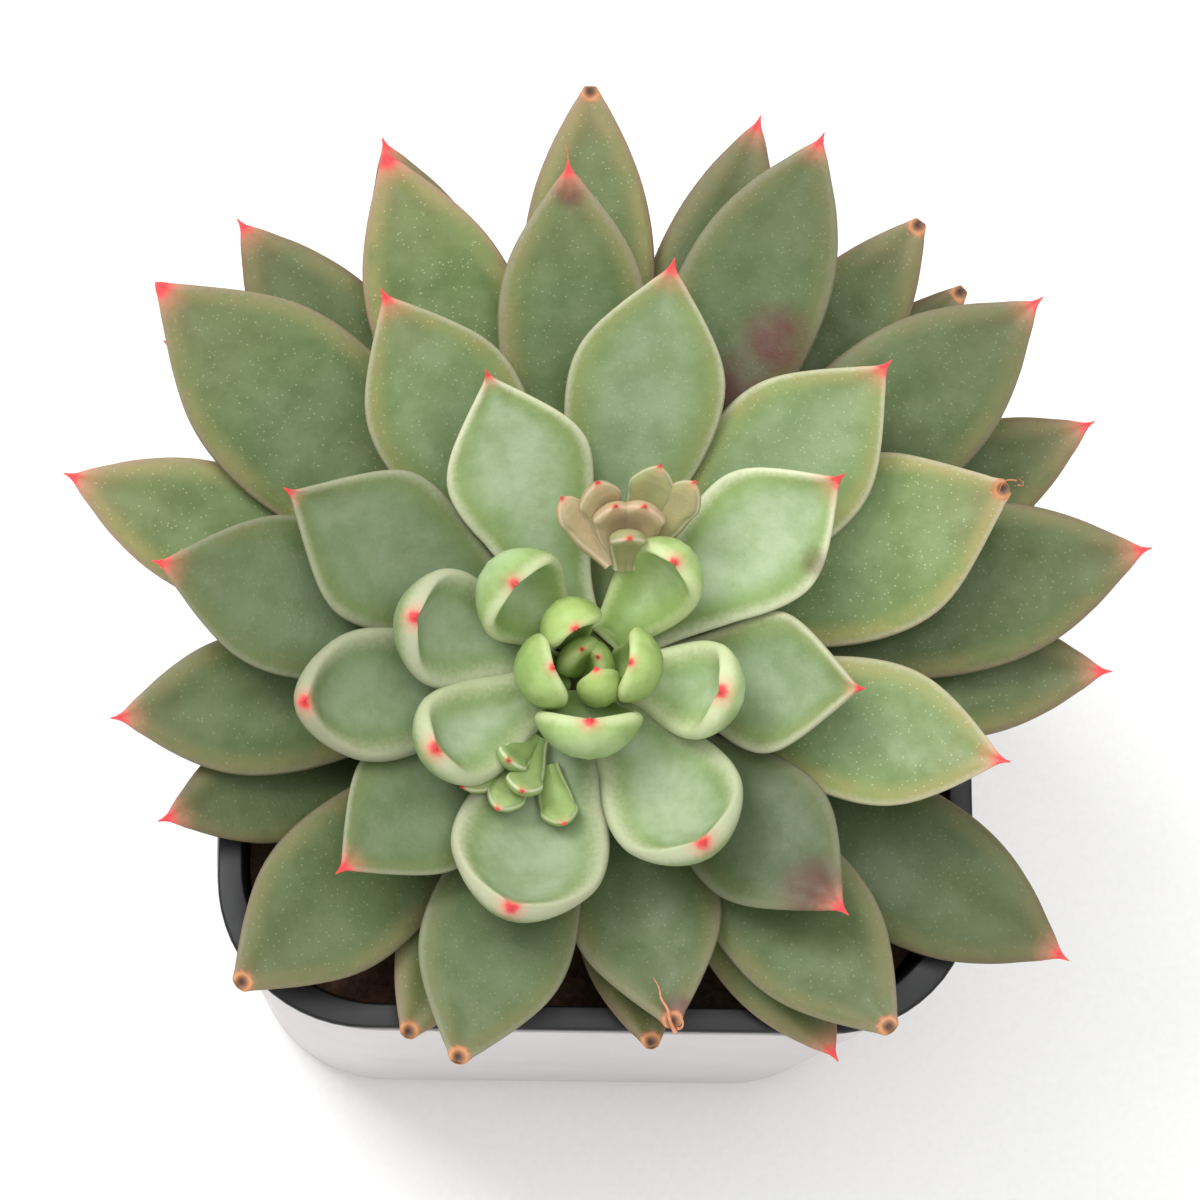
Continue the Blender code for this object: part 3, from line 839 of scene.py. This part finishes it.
        # a soft minimum keeps the outline fair where the limit takes over
        allowed = (own ** -4.0 + limit ** -4.0) ** -0.25
        share = np.where(away > stops[-1, 0], own, allowed) / own
        spread = np.arange(-FAIR_ROWS, FAIR_ROWS + 1)
        weight = np.exp(-0.5 * (spread / FAIR_SPREAD) ** 2)
        padded = np.pad(share, FAIR_ROWS, mode="edge")
        fair = np.convolve(padded, weight / weight.sum(), mode="valid")
        blend = smooth_step(FAIR_FROM_MM, FAIR_TO_MM, away)
        share = share * (1 - blend) + fair * blend
        offset = surface - middle[:, None]
        lateral = (offset * side[:, None]).sum(2)
        upright = offset - lateral[..., None] * side[:, None]
        thick = np.maximum(np.linalg.norm(upright, axis=2).max(1), 1e-7)
        lateral = lateral * share[:, None]
        # the spine is round; behind it the leaf keeps its own thickness
        needle = np.clip(1 - away / self.needle_mm, 0, 1)
        slim = thick if self.note.plump else np.minimum(thick, limit)
        slim = slim * (1 - needle) + np.minimum(limit, thick) * needle
        upright = upright * (slim / thick)[:, None, None]
        surface = middle[:, None] + lateral[..., None] * side[:, None] + upright
        if self.note.tip is TipKind.SCAR:
            cut = int(np.argmax(away > CUT_MM))
            axis = unit(middle[cut] - middle[cut + 3])
            for row in range(cut):
                share = row / cut
                dish = (RING_MM if share > DISH_SHARE else -SUNK_MM * (1 - share / DISH_SHARE)) * MM
                surface[row] = middle[cut] + (surface[cut] - middle[cut]) * share + axis * dish
        return surface

    def facts(self, surface: np.ndarray, around: np.ndarray) -> dict[str, np.ndarray]:
        """Work out what the skin reads at each point.

        Args:
            surface: the finished points.
            around: each column's place round the section.

        Returns:
            Values by attribute name.
        """
        rows, columns = surface.shape[:2]
        half = columns // 2
        left, right = surface[:, :1], surface[:, half:half + 1]
        edge = np.minimum(*(np.linalg.norm(surface - margin, axis=2) for margin in (left, right))) / MM
        ones = np.ones((rows, columns))
        bloomed = UNDER_BLOOM if self.note.curl_mm else 0.0
        arch = np.sin(np.clip((around - 4) / 4, 0, 1) * math.pi) ** 0.5
        tip = np.linalg.norm(surface - surface[0, 0], axis=2) / MM
        facts = {
            "age": self.age * ones, "tone_and_shade": self.tone_and_shade * ones, "rim_mm": self.note.rim_mm * ones,
            "blush": self.blush * ones, "tip_mm": tip / self.note.red_mm, "edge_mm": edge,
            "upper": np.maximum(arch, bloomed)[None] * ones, "scar": 0 * ones, "patch": 0 * ones,
            "along": (1 - np.arange(rows) / (rows - 1))[:, None] * ones,
        }
        if self.note.tip is TipKind.SCAR:
            facts["scar"] = np.where(tip < SCAR_MM, 1 - tip / SCAR_MM, 0.0)
            facts["tip_mm"] = tip + SCAR_RED_MM
        centre = (left + right) / 2
        away = run_mm(centre[:, 0])
        for patch in self.note.patches:
            row = int(np.argmin(np.abs(1 - away / away[-1] - patch.along)))
            spot = centre[row, 0] + (right[row, 0] - left[row, 0]) / 2 * patch.across
            gap = np.linalg.norm(surface - spot, axis=2) / MM
            spread = smooth_step(0.0, 1.0, PATCH_REACH - gap / patch.radius_mm)
            facts["patch"] = np.maximum(facts["patch"], patch.strength * spread)
        return facts


# a bud's rings stand at these shares of its length
BUD_STATIONS = (0.0, 0.12, 0.26, 0.42, 0.58, 0.72, 0.84, 0.93, 0.98)
# its foot beside its greatest width, the power that draws its end in, and its depth beside its width
BUD_FOOT, BUD_POWER, BUD_DEPTH = 0.55, 5, 1.1


def spindle(name: str, foot: Vector, top: Vector, width_mm: float, note: LeafNote, tone_and_shade: float) -> Leaf:
    """A plump young leaf still closed round its neighbours.

    Args:
        name: the piece's name.
        foot: where it starts.
        top: its tip.
        width_mm: its greatest width.
        note: how it ends.
        tone_and_shade: how light it is.

    Returns:
        The leaf, which is then built like any other.
    """
    chord = top - foot
    ahead = chord.normalized()
    side = ahead.cross(Vector((0, 0, 1))).normalized()
    face = side.cross(ahead)
    rings = []
    for t in BUD_STATIONS:
        full = BUD_FOOT + (1 - BUD_FOOT) * math.sin(math.pi * t)
        half = width_mm / 2 * MM * full * (1 - t ** BUD_POWER) + 0.1 * MM
        spot = foot + chord * t
        rings.append([tuple(spot + side * a * half + face * b * half * BUD_DEPTH) for a, b in SECTION])
    return Leaf(name, np.array(rings), np.array(top), note, age=0.02, tone_and_shade=tone_and_shade)


@dataclass(frozen=True)
class DriedSpine:
    """A dried hair at a leaf's tip: its route in mm ahead of the tip, across to the left and up."""

    leaf: int
    route: tuple[tuple[float, float, float], ...]
    radius_mm: float = 0.13


SPINES = (
    DriedSpine(27, ((0, 0, 0.2), (-1.2, -0.5, 1.4), (-2.6, -0.2, 2.0), (-4.2, -0.9, 2.3), (-5.6, -0.6, 2.8),
                    (-6.8, -1.2, 3.4)), 0.30),
    DriedSpine(27, ((-0.4, 0.4, 0.4), (0.2, 0.9, 1.4), (-0.6, 1.3, 2.2), (-1.8, 1.0, 2.5)), 0.24),
    DriedSpine(29, ((0, 0, 0), (1.2, 0.1, 0.2), (2.4, 0.4, 0.5), (3.6, 0.3, 0.9))),
    DriedSpine(28, ((0, 0.3, 0.3), (-0.8, 0.9, 1.2), (-1.8, 0.6, 1.6), (-2.4, -0.2, 1.5))),
    DriedSpine(28, ((0, -0.3, 0.3), (0.7, -0.9, 0.9), (1.0, -0.2, 1.6), (0.6, 0.5, 2.0))),
)


@dataclass
class Rosette:
    """The leaves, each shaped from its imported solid, with two heart buds and a few dried hairs.

    Attributes:
        heart_buds: each bud's tip in mm from the crown's heart.
        gather: how near the buds' feet stand to its axis, as a share of their tips' distance.
    """

    count: int = 52
    seed: int = 11
    shade_spread: float = 0.05
    bud_width_mm: float = 5.6
    bud_depth_mm: float = 6.0
    gather: float = 0.4
    heart_buds: tuple[tuple[float, float, float], ...] = ((-0.9, 1.2, 2.6), (1.1, 0.4, 2.0))

    def build(self, blank: LeafBlank, skin: bpy.types.Material) -> None:
        """Shape and dress every leaf."""
        draw = random.Random(self.seed)
        low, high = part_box("stem")
        centre = (low + high) / 2
        blades = {}
        for number in range(1, self.count + 1):
            node = f"leaf_{number:02d}"
            blade = blades[number] = PackedBlade(frame["nodes"][node], centre)
            shade = TONE_AND_SHADE_OF.get(number, OTHER_TONE_AND_SHADE) + draw.uniform(-self.shade_spread, self.shade_spread)
            leaf = Leaf(f"leaf_blade_{number:02d}", blade.rings, blade.tip, NOTES.get(number, LeafNote()),
                        age=(number - 1) / (self.count - 1), tone_and_shade=shade)
            seat(leaf.build(blank), "leaf", skin, node)
        self.close_crown(blank, skin)
        self.dry_spines(blades)

    def dry_spines(self, blades: dict[int, PackedBlade]) -> None:
        """Grow the dried hairs of some leaf tips, as one piece for each thickness."""
        groups: dict[float, list[list[tuple[float, float, float]]]] = {}
        for spine in SPINES:
            blade = blades[spine.leaf]
            tip, ring = Vector(blade.tip), blade.rings[-3]
            ahead = (tip - Vector(ring.mean(0))).normalized()
            side = Vector(ring[4] - ring[0]).normalized()
            up = ahead.cross(side).normalized()
            up = up if up.z > 0 else -up
            route = [tuple(tip + (ahead * a + side * b + up * c) * MM) for a, b, c in spine.route]
            groups.setdefault(spine.radius_mm, []).append(route)
        finish = STRAW.material()
        for number, (radius, routes) in enumerate(groups.items(), 1):
            seat(strands(f"dried_spines_{number}", routes, radius * MM, taper=True), "leaf", finish)

    def close_crown(self, blank: LeafBlank, skin: bpy.types.Material) -> None:
        """Fill the heart of the crown with its two youngest leaves, still folded together."""
        middles = [(low + high) / 2 for low, high in (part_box(f"leaf_{n:02d}") for n in (1, 2, 3, 4))]
        heart = sum(middles, Vector()) / len(middles)
        note = LeafNote(TipKind.BUD, 1.0, plump=0.8, red_mm=0.3)
        for number, (x, y, lift) in enumerate(self.heart_buds, 1):
            foot = heart + Vector((x * self.gather, y * self.gather, -self.bud_depth_mm)) * MM
            top = heart + Vector((x, y, lift)) * MM
            bud = spindle(f"heart_bud_{number}", foot, top, self.bud_width_mm, note, tone_and_shade=0.75)
            seat(bud.build(blank), "leaf", skin)


# ---------------------------------------------------------------- pots and soil


@dataclass
class WalledPot:
    """A square pot with rounded corners, drawn up from a plane by extrusions.

    Attributes:
        steps: half the side and the height of each step, foot first, up the outside and down the inside.
        corner: the corner's radius at the first step.
    """

    name: str
    steps: tuple[tuple[float, float], ...]
    corner: float
    segments: int = 14
    lip_bevel: float = 0.0004

    def build(self) -> bpy.types.Object:
        """Model the shell.

        Returns:
            The pot, closed all round.
        """
        half, height = self.steps[0]
        deselect()
        bpy.ops.mesh.primitive_plane_add(size=2 * half, location=(0, 0, height))
        piece = bpy.context.object
        piece.name = piece.data.name = self.name
        bpy.ops.object.transform_apply(location=True, rotation=True, scale=True)
        bpy.ops.object.mode_set(mode="EDIT")
        bpy.ops.mesh.select_all(action="SELECT")
        bpy.ops.mesh.bevel(offset=self.corner, segments=self.segments, affect="VERTICES")
        for wide, tall in self.steps[1:]:
            bpy.ops.mesh.extrude_region_move(TRANSFORM_OT_translate={"value": (0, 0, tall - height)})
            share = wide / half
            bpy.ops.transform.resize(value=(share, share, 1), center_override=(0, 0, tall))
            half, height = wide, tall
        leave_edit_outward()
        apply_modifier(piece, "BEVEL", width=self.lip_bevel, segments=3, limit_method="ANGLE",
                       angle_limit=math.radians(40))
        focus(piece)
        bpy.ops.object.shade_smooth_by_angle(angle=math.radians(35))
        return piece


@dataclass
class Pots:
    """The white cover pot and the black liner that sits in it.

    Attributes:
        foot_share: the foot's width beside the rim's.
        gap: how far each pot's wall is drawn off the other's at the foot.
    """

    foot_share: float = 0.888
    cover_corner: float = 0.0185
    liner_corner: float = 0.0165
    gap: float = 0.0003
    wall: float = 0.0022
    floor: float = 0.003
    liner_wall: float = 0.0010
    lip: float = 0.0012
    foot_bevel: float = 0.0015

    def build(self) -> None:
        """Model and dress both pots."""
        low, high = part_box("cover_pot")
        rim, foot = high.x, high.x * self.foot_share
        cover = WalledPot("cover_pot_shell", (
            (foot - self.foot_bevel, low.z), (foot, low.z + self.foot_bevel), (rim, high.z),
            (rim - self.wall, high.z), (foot - self.wall + self.gap, low.z + self.floor)),
            self.cover_corner).build()
        # the cover pot's white is greyed here as painted shade
        seat(cover, "white_pot", WHITE_POT_IN_PAINTED_SHADE.material(), "cover_pot")
        low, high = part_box("liner_pot")
        top = high.x
        under = high.z - self.lip
        inner = top - self.wall
        liner = WalledPot("liner_shell", (
            (foot - self.wall - self.gap, low.z), (inner, under), (top, under), (top, high.z),
            (inner - self.liner_wall, high.z), (foot - self.wall - self.liner_wall, low.z + self.liner_wall)),
            self.liner_corner).build()
        self.drill(liner, low.z)
        seat(liner, "black_liner", BLACK_LINER.material(), "liner_pot")

    def drill(self, liner: bpy.types.Object, floor_z: float, hole: float = 0.008,
              spread: float = 0.024) -> None:
        """Cut the five drain holes.

        Args:
            liner: the liner.
            floor_z: the height of its underside.
            hole: a hole's diameter.
            spread: the distance of the outer holes from the middle, along each side.
        """
        for x, y in ((0, 0), (1, 1), (1, -1), (-1, 1), (-1, -1)):
            deselect()
            bpy.ops.mesh.primitive_cylinder_add(vertices=24, radius=hole / 2, depth=6 * self.liner_wall,
                                                location=(x * spread, y * spread, floor_z))
            drill = bpy.context.object
            apply_modifier(liner, "BOOLEAN", object=drill, operation="DIFFERENCE")
            bpy.data.objects.remove(drill)


@dataclass
class SoilBed:
    """The peat, with bark chips and coir fibres lying on it.

    Attributes:
        lump: the greatest height of a lump.
        sink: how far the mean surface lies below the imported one.
        corner_share: the corner's radius beside half the bed's side.
        calm_from: from this share of the half-side out, the surface levels off to its edge.
    """

    cells: int = 120
    lump: float = 0.0013
    lumps_per_metre: float = 210
    crumbs_per_metre: float = 620
    sink: float = 0.001
    corner_share: float = 0.42
    calm_from: float = 0.94
    foot_share: float = 0.895
    chips: int = 170
    chip_sizes: tuple[float, float] = (0.0007, 0.0022)
    fibres: int = 110
    fibre_radius: float = 0.00011
    fibre_step: float = 0.0013
    seed: int = 5

    def height(self, x: float, y: float) -> float:
        """The height of the crumbly surface above its mean level."""
        spot = Vector((x, y, 0.0))
        lumps = noise.noise(spot * self.lumps_per_metre)
        crumbs = noise.turbulence(spot * self.crumbs_per_metre, 3, False)
        return self.lump * (0.7 * lumps + 0.75 * crumbs - 0.45)

    def build(self) -> None:
        """Model and dress the bed and what lies on it."""
        low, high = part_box("soil")
        deselect()
        bpy.ops.mesh.primitive_grid_add(x_subdivisions=self.cells, y_subdivisions=self.cells, size=2)
        piece = bpy.context.object
        piece.name = piece.data.name = "peat_bed"
        side = high.x
        for vertex in piece.data.vertices:
            x, y = self.rounded(vertex.co.x, vertex.co.y, side, side * self.corner_share)
            edge = max(abs(vertex.co.x), abs(vertex.co.y))
            calm = 1 - max(0.0, edge - self.calm_from) / (1 - self.calm_from)
            vertex.co = (x, y, high.z - self.sink + self.height(x, y) * calm)
        bpy.ops.object.mode_set(mode="EDIT")
        bpy.ops.mesh.select_mode(type="EDGE")
        bpy.ops.mesh.select_all(action="DESELECT")
        bpy.ops.mesh.select_non_manifold(extend=False)
        bpy.ops.mesh.extrude_region_move(TRANSFORM_OT_translate={"value": (0, 0, low.z - high.z)})
        bpy.ops.transform.resize(value=(self.foot_share, self.foot_share, 0), center_override=(0, 0, low.z))
        bpy.ops.mesh.edge_face_add()
        leave_edit_outward()
        piece.data.shade_smooth()
        seat(piece, "potting_soil", PEAT.material(), "soil")
        self.scatter_chips(side, high.z)
        self.scatter_fibres(side, high.z)

    @staticmethod
    def rounded(x: float, y: float, side: float, corner: float) -> tuple[float, float]:
        """Draw a square's corners in to a radius, leaving its middle alone.

        Args:
            x: the place across, from -1 to 1.
            y: the place along, from -1 to 1.
            side: half the square's side.
            corner: the corner's radius.

        Returns:
            The place in the rounded square.
        """
        reach = max(abs(x), abs(y))
        if reach == 0:
            return 0.0, 0.0
        radius = corner / side
        flat = 1 - radius
        lesser = min(abs(x), abs(y)) / reach
        scale = 1.0
        if lesser > flat:
            # where the ray through the place meets the corner's arc
            ahead = flat + lesser * flat
            square = 1 + lesser * lesser
            rest = ahead * ahead - square * (2 * flat * flat - radius * radius)
            scale = (ahead + math.sqrt(max(0.0, rest))) / square
        scale = 1 + (scale - 1) * reach ** 4
        return x * side * scale, y * side * scale

    def scatter_chips(self, side: float, top: float) -> None:
        """Lay bark chips, all copies of one cut stone shape."""
        draw = random.Random(self.seed)
        deselect()
        bpy.ops.mesh.primitive_ico_sphere_add(subdivisions=2, radius=1.0)
        chip = bpy.context.object
        bpy.ops.object.mode_set(mode="EDIT")
        for normal in ((1, 0.2, 0.3), (-0.7, 0.6, 0.2), (0.1, -0.9, 0.4)):
            bpy.ops.mesh.select_all(action="SELECT")
            bpy.ops.mesh.bisect(plane_co=[n * 0.7 for n in normal], plane_no=normal, clear_outer=True,
                                use_fill=True)
        bpy.ops.object.mode_set(mode="OBJECT")
        heap = bmesh.new()
        for _ in range(self.chips):
            size = draw.uniform(*self.chip_sizes)
            x, y = (draw.uniform(-side, side) * 0.95 for _ in range(2))
            x, y = self.rounded(x / side, y / side, side * 0.97, side * self.corner_share)
            spin, tilt = draw.uniform(0, 6.28), draw.uniform(-0.7, 0.7)
            turn = Matrix.Rotation(spin, 4, "Z") @ Matrix.Rotation(tilt, 4, "X")
            shape = Matrix.Diagonal((size * draw.uniform(0.9, 1.9), size, size * draw.uniform(0.3, 0.6), 1))
            lift = top - self.sink + self.height(x, y) + size * 0.25
            part = chip.data.copy()
            part.transform(Matrix.Translation((x, y, lift)) @ turn @ shape)
            heap.from_mesh(part)
            bpy.data.meshes.remove(part)
        mesh = bpy.data.meshes.new("bark_chips")
        heap.to_mesh(mesh)
        heap.free()
        bpy.data.objects.remove(chip)
        seat(linked("bark_chips", mesh), "potting_soil", BARK.material())

    def scatter_fibres(self, side: float, top: float) -> None:
        """Lay curled coir fibres."""
        draw = random.Random(self.seed + 1)
        routes = []
        for _ in range(self.fibres):
            x, y = (draw.uniform(-side, side) * 0.92 for _ in range(2))
            heading, bend = draw.uniform(0, 6.28), draw.uniform(-0.5, 0.5)
            lift = draw.uniform(0.0002, 0.0018)
            route = []
            steps = draw.randint(5, 9)
            for step in range(steps):
                held = (max(-1, min(1, place / side)) for place in (x, y))
                px, py = self.rounded(*held, side * 0.96, side * self.corner_share)
                arch = math.sin(math.pi * step / (steps - 1)) * lift
                # a fibre rests on the crumbs, a little above the mean surface
                route.append((px, py, top - 0.6 * self.sink + self.height(px, py) + arch))
                x += math.cos(heading) * self.fibre_step
                y += math.sin(heading) * self.fibre_step
                heading += bend
            routes.append(route)
        seat(strands("coir_fibres", routes, self.fibre_radius), "potting_soil", COIR.material())


def strands(name: str, routes: list[list[tuple[float, float, float]]], radius: float,
            taper: bool = False) -> bpy.types.Object:
    """Model thin round strands.

    Args:
        name: the piece's name.
        routes: the points of each strand.
        radius: a strand's radius.
        taper: strands thin out to a hair at their ends.

    Returns:
        All the strands as one mesh.
    """
    curve = bpy.data.curves.new(name, "CURVE")
    curve.dimensions = "3D"
    curve.bevel_depth = radius
    curve.bevel_resolution = 1
    curve.resolution_u = 3
    curve.use_fill_caps = True
    for route in routes:
        spline = curve.splines.new("NURBS")
        spline.points.add(len(route) - 1)
        for index, (point, spot) in enumerate(zip(spline.points, route)):
            point.co = (*spot, 1.0)
            point.radius = 1.0 if not taper else 1.0 - 0.85 * index / (len(route) - 1)
        spline.use_endpoint_u = True
        spline.order_u = 3
    focus(linked(name, curve))
    bpy.ops.object.convert(target="MESH")
    piece = bpy.context.object
    piece.data.shade_smooth()
    return piece


@dataclass
class Stalk:
    """The short corky stem."""

    rounding: int = 2

    def build(self) -> None:
        """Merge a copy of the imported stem, round it and dress it."""
        piece = own_copy(frame["nodes"]["stem"], "corky_stalk")
        focus(piece)
        bpy.ops.object.mode_set(mode="EDIT")
        bpy.ops.mesh.select_all(action="SELECT")
        bpy.ops.mesh.remove_doubles(threshold=1e-6)
        bpy.ops.mesh.tris_convert_to_quads()
        bpy.ops.object.mode_set(mode="OBJECT")
        apply_modifier(piece, "SUBSURF", levels=self.rounding, render_levels=self.rounding)
        piece.data.shade_smooth()
        seat(piece, "stem", STALK.material(), "stem")


# ---------------------------------------------------------------- offsets


@dataclass(frozen=True)
class Leaflet:
    """One leaf of an offset, in millimetres and degrees, in the offset's own frame.

    heading turns anticlockwise from above; rise is the tilt of its chord; curl is how much it cups inwards.
    """

    heading: float
    rise: float
    length: float
    width: float
    curl: float
    start: float
    blush: float


@dataclass
class Offset:
    """A small rosette between the big leaves.

    Attributes:
        root_shift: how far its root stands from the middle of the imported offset's foot.
        stations: where a leaflet's rings stand, as shares of its length.
        widest: the station at which a leaflet is widest.
        foot_share: its width at the foot beside its greatest.
        least_mm: the least half-width of a ring.
    """

    node: str
    leaflets: tuple[Leaflet, ...]
    root_shift: tuple[float, float, float] = (0.0, 0.0, 0.0)
    age: float = 0.35
    thickness: float = 2.4
    widest: float = 0.6
    foot_share: float = 0.35
    least_mm: float = 0.15
    stations: tuple[float, ...] = (0.0, 0.12, 0.25, 0.4, 0.55, 0.7, 0.82, 0.91, 0.97)

    def rings(self, leaflet: Leaflet, root: Vector) -> tuple[np.ndarray, np.ndarray]:
        """Rings and tip of a leaflet.

        Args:
            leaflet: its sizes.
            root: the offset's root.

        Returns:
            The rings, base first, and the tip.
        """
        heading, rise = math.radians(leaflet.heading), math.radians(leaflet.rise)
        out = Vector((math.cos(heading), math.sin(heading), 0))
        side = Vector((-math.sin(heading), math.cos(heading), 0))
        up = Vector((0, 0, 1))
        start = root + out * leaflet.start * MM
        chord = (out * math.cos(rise) + up * math.sin(rise)) * leaflet.length * MM
        bulge = (out * math.sin(rise) - up * math.cos(rise)) * leaflet.curl * MM
        rings = []
        for t in self.stations:
            spot = start + chord * t + bulge * 4 * t * (1 - t)
            ahead = (chord + bulge * 4 * (1 - 2 * t)).normalized()
            normal = ahead.cross(side).normalized() * -1
            if normal.dot(up * math.cos(rise) - out * math.sin(rise)) < 0:
                normal = -normal
            if t < self.widest:
                grow = math.sin(math.pi / 2 * t / self.widest) ** 1.3
                full = self.foot_share * (1 - t) + (1 - self.foot_share) * grow
            else:
                full = 1 - ((t - self.widest) / (1 - self.widest)) ** 2.4
            half = max(leaflet.width / 2 * full, self.least_mm)
            deep = self.thickness * (0.5 + 0.5 * math.sin(math.pi * min(1, t + 0.1))) * (1 - t ** 4 * 0.7)
            rings.append([tuple(spot + side * a * half * MM + normal * b * deep * MM) for a, b in SECTION])
        return np.array(rings), np.array(start + chord)

    def build(self, blank: LeafBlank, skin: bpy.types.Material) -> None:
        """Shape and dress every leaflet and fuse them into one piece."""
        low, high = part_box(self.node)
        root = Vector(((low.x + high.x) / 2, (low.y + high.y) / 2, low.z + 0.001)) + Vector(self.root_shift)
        draw = random.Random(len(self.leaflets))
        note = LeafNote(TipKind.LEAFLET, 0.25, plump=0.6, red_mm=0.36)
        parts = []
        for number, leaflet in enumerate(self.leaflets):
            rings, tip = self.rings(leaflet, root)
            age = self.age + draw.uniform(-0.05, 0.05)
            tone_and_shade = draw.uniform(0.75, 1.0)
            leaf = Leaf(f"{self.node}_leaflet_{number}", rings, tip, note, age, tone_and_shade, leaflet.blush)
            parts.append(leaf.build(blank))
        focus(parts[0])
        for part in parts:
            part.select_set(True)
        bpy.ops.object.join()
        piece = bpy.context.object
        piece.name = piece.data.name = f"{self.node}_rosette"
        seat(piece, "offset", skin, self.node)


BACK_OFFSET = Offset("pup_back", (
    Leaflet(72, 38, 13.5, 6.6, 1.5, 2.0, 0.20), Leaflet(114, 45, 12.5, 6.2, 1.5, 1.5, 0.42),
    Leaflet(50, 40, 13.0, 5.2, 1.2, 3.0, 0.30), Leaflet(106, 58, 9.8, 6.2, 1.6, 1.4, 0.55),
    Leaflet(74, 60, 10.4, 6.8, 1.8, 1.2, 0.60), Leaflet(92, 78, 8.5, 5.0, 1.2, 0.2, 0.25),
    Leaflet(138, 36, 12.0, 4.2, 1.0, 2.0, 0.5)), (0.0000, -0.0062, 0.0))
FRONT_OFFSET = Offset("pup_front", (
    Leaflet(219, 18, 13.0, 4.6, 1.2, 1.0, 0.10), Leaflet(243, 20, 12.5, 5.4, 1.4, 1.0, 0.05),
    Leaflet(254, 38, 11.5, 5.0, 1.2, 0.8, 0.03), Leaflet(283, 22, 9.5, 5.2, 1.2, 4.5, 0.03),
    Leaflet(230, 46, 9.0, 4.8, 1.2, 0.6, 0.0)), (0.0020, 0.0099, -0.0010), age=0.16)


# ---------------------------------------------------------------- studio


@dataclass
class Studio:
    """A pale floor, a white surround, soft lights and the camera."""

    azimuth: float = -16.5
    elevation: float = 74.5
    distance: float = 0.600
    target: tuple[float, float, float] = (0.0002, 0.0081, 0.080)
    lens: float = 135.2
    floor_size: float = 6.0
    tent_glow: float = 0.55
    lamp_target: tuple[float, float, float] = (0.0, 0.0, 0.06)

    def build(self) -> None:
        """Set up the floor, the surround, the lights and the camera."""
        deselect()
        bpy.ops.mesh.primitive_plane_add(size=self.floor_size)
        floor = bpy.context.object
        floor.name = "studio_floor"
        made, tree, shader = blank_material("matt_white_paper_sweep")
        place = put(tree, "ShaderNodeTexCoord").outputs["Object"]
        tooth = put(tree, "ShaderNodeTexNoise", {}, {
            "Vector": place, "Scale": 900.0, "Detail": 2.0}).outputs["Fac"]
        paper = put(tree, "ShaderNodeValToRGB", {}, {"Fac": tooth}, ((0.3, "F6F6F5"), (0.7, "F9F9F8")))
        tree.links.new(paper.outputs["Color"], shader.inputs["Base Color"])
        shader.inputs["Roughness"].default_value = 0.9
        floor.data.materials.append(made)
        world = bpy.data.worlds.new("white_tent")
        bpy.context.scene.world = world
        world.use_nodes = True
        world.node_tree.nodes["Background"].inputs["Color"].default_value = (1, 1, 1, 1)
        # the tent lights the plant softly and still looks white behind it
        seen = put(world.node_tree, "ShaderNodeLightPath").outputs["Is Camera Ray"]
        strength = put(world.node_tree, "ShaderNodeMapRange", {}, {
            "Value": seen, "To Min": self.tent_glow, "To Max": 1.0}).outputs["Result"]
        world.node_tree.links.new(strength, world.node_tree.nodes["Background"].inputs["Strength"])
        self.lamp("overhead_softbox", (0.05, 0.10, 1.15), 0.90, 6.5)
        self.lamp("key_softbox", (-0.45, 0.35, 0.85), 0.40, 5.5)
        self.lamp("front_softbox", (0.20, -0.75, 0.60), 0.50, 1.2)
        bpy.context.scene.view_settings.view_transform = "Standard"
        self.camera()

    def lamp(self, name: str, spot: tuple[float, float, float], size: float, power: float) -> None:
        """Hang one square softbox that faces the plant."""
        data = bpy.data.lights.new(name, "AREA")
        data.size = size
        data.energy = power
        lamp = linked(name, data)
        lamp.location = spot
        lamp.rotation_euler = (Vector(self.lamp_target) - Vector(spot)).to_track_quat("-Z", "Y").to_euler()

    def camera(self) -> None:
        """Stand the camera almost overhead, with the back of the pot at the top of the view."""
        a, e = math.radians(self.azimuth), math.radians(self.elevation)
        back = Vector((math.sin(a) * math.cos(e), -math.cos(a) * math.cos(e), math.sin(e)))
        right = (-back).cross(Vector((0, 1, 0))).normalized()
        up = right.cross(-back)
        data = bpy.data.cameras.new("overhead_camera")
        data.lens = self.lens
        data.sensor_width = 36.0
        data.clip_start = 0.01
        camera = linked("overhead_camera", data)
        turn = Matrix((right, up, back)).transposed().to_4x4()
        camera.matrix_world = Matrix.Translation(Vector(self.target) + back * self.distance) @ turn
        bpy.context.scene.camera = camera


def main() -> None:
    """Build every sub-assembly in order."""
    logging.basicConfig(level=logging.INFO, format="%(name)s %(message)s")
    Studio().build()
    Pots().build()
    SoilBed().build()
    Stalk().build()
    blank = LeafBlank()
    sphere = blank.build()
    skin = WaxyLeaf().material()
    Rosette().build(blank, skin)
    BACK_OFFSET.build(blank, skin)
    FRONT_OFFSET.build(blank, skin)
    bpy.data.objects.remove(sphere)
    deselect()


if __name__ == "__main__":
    main()
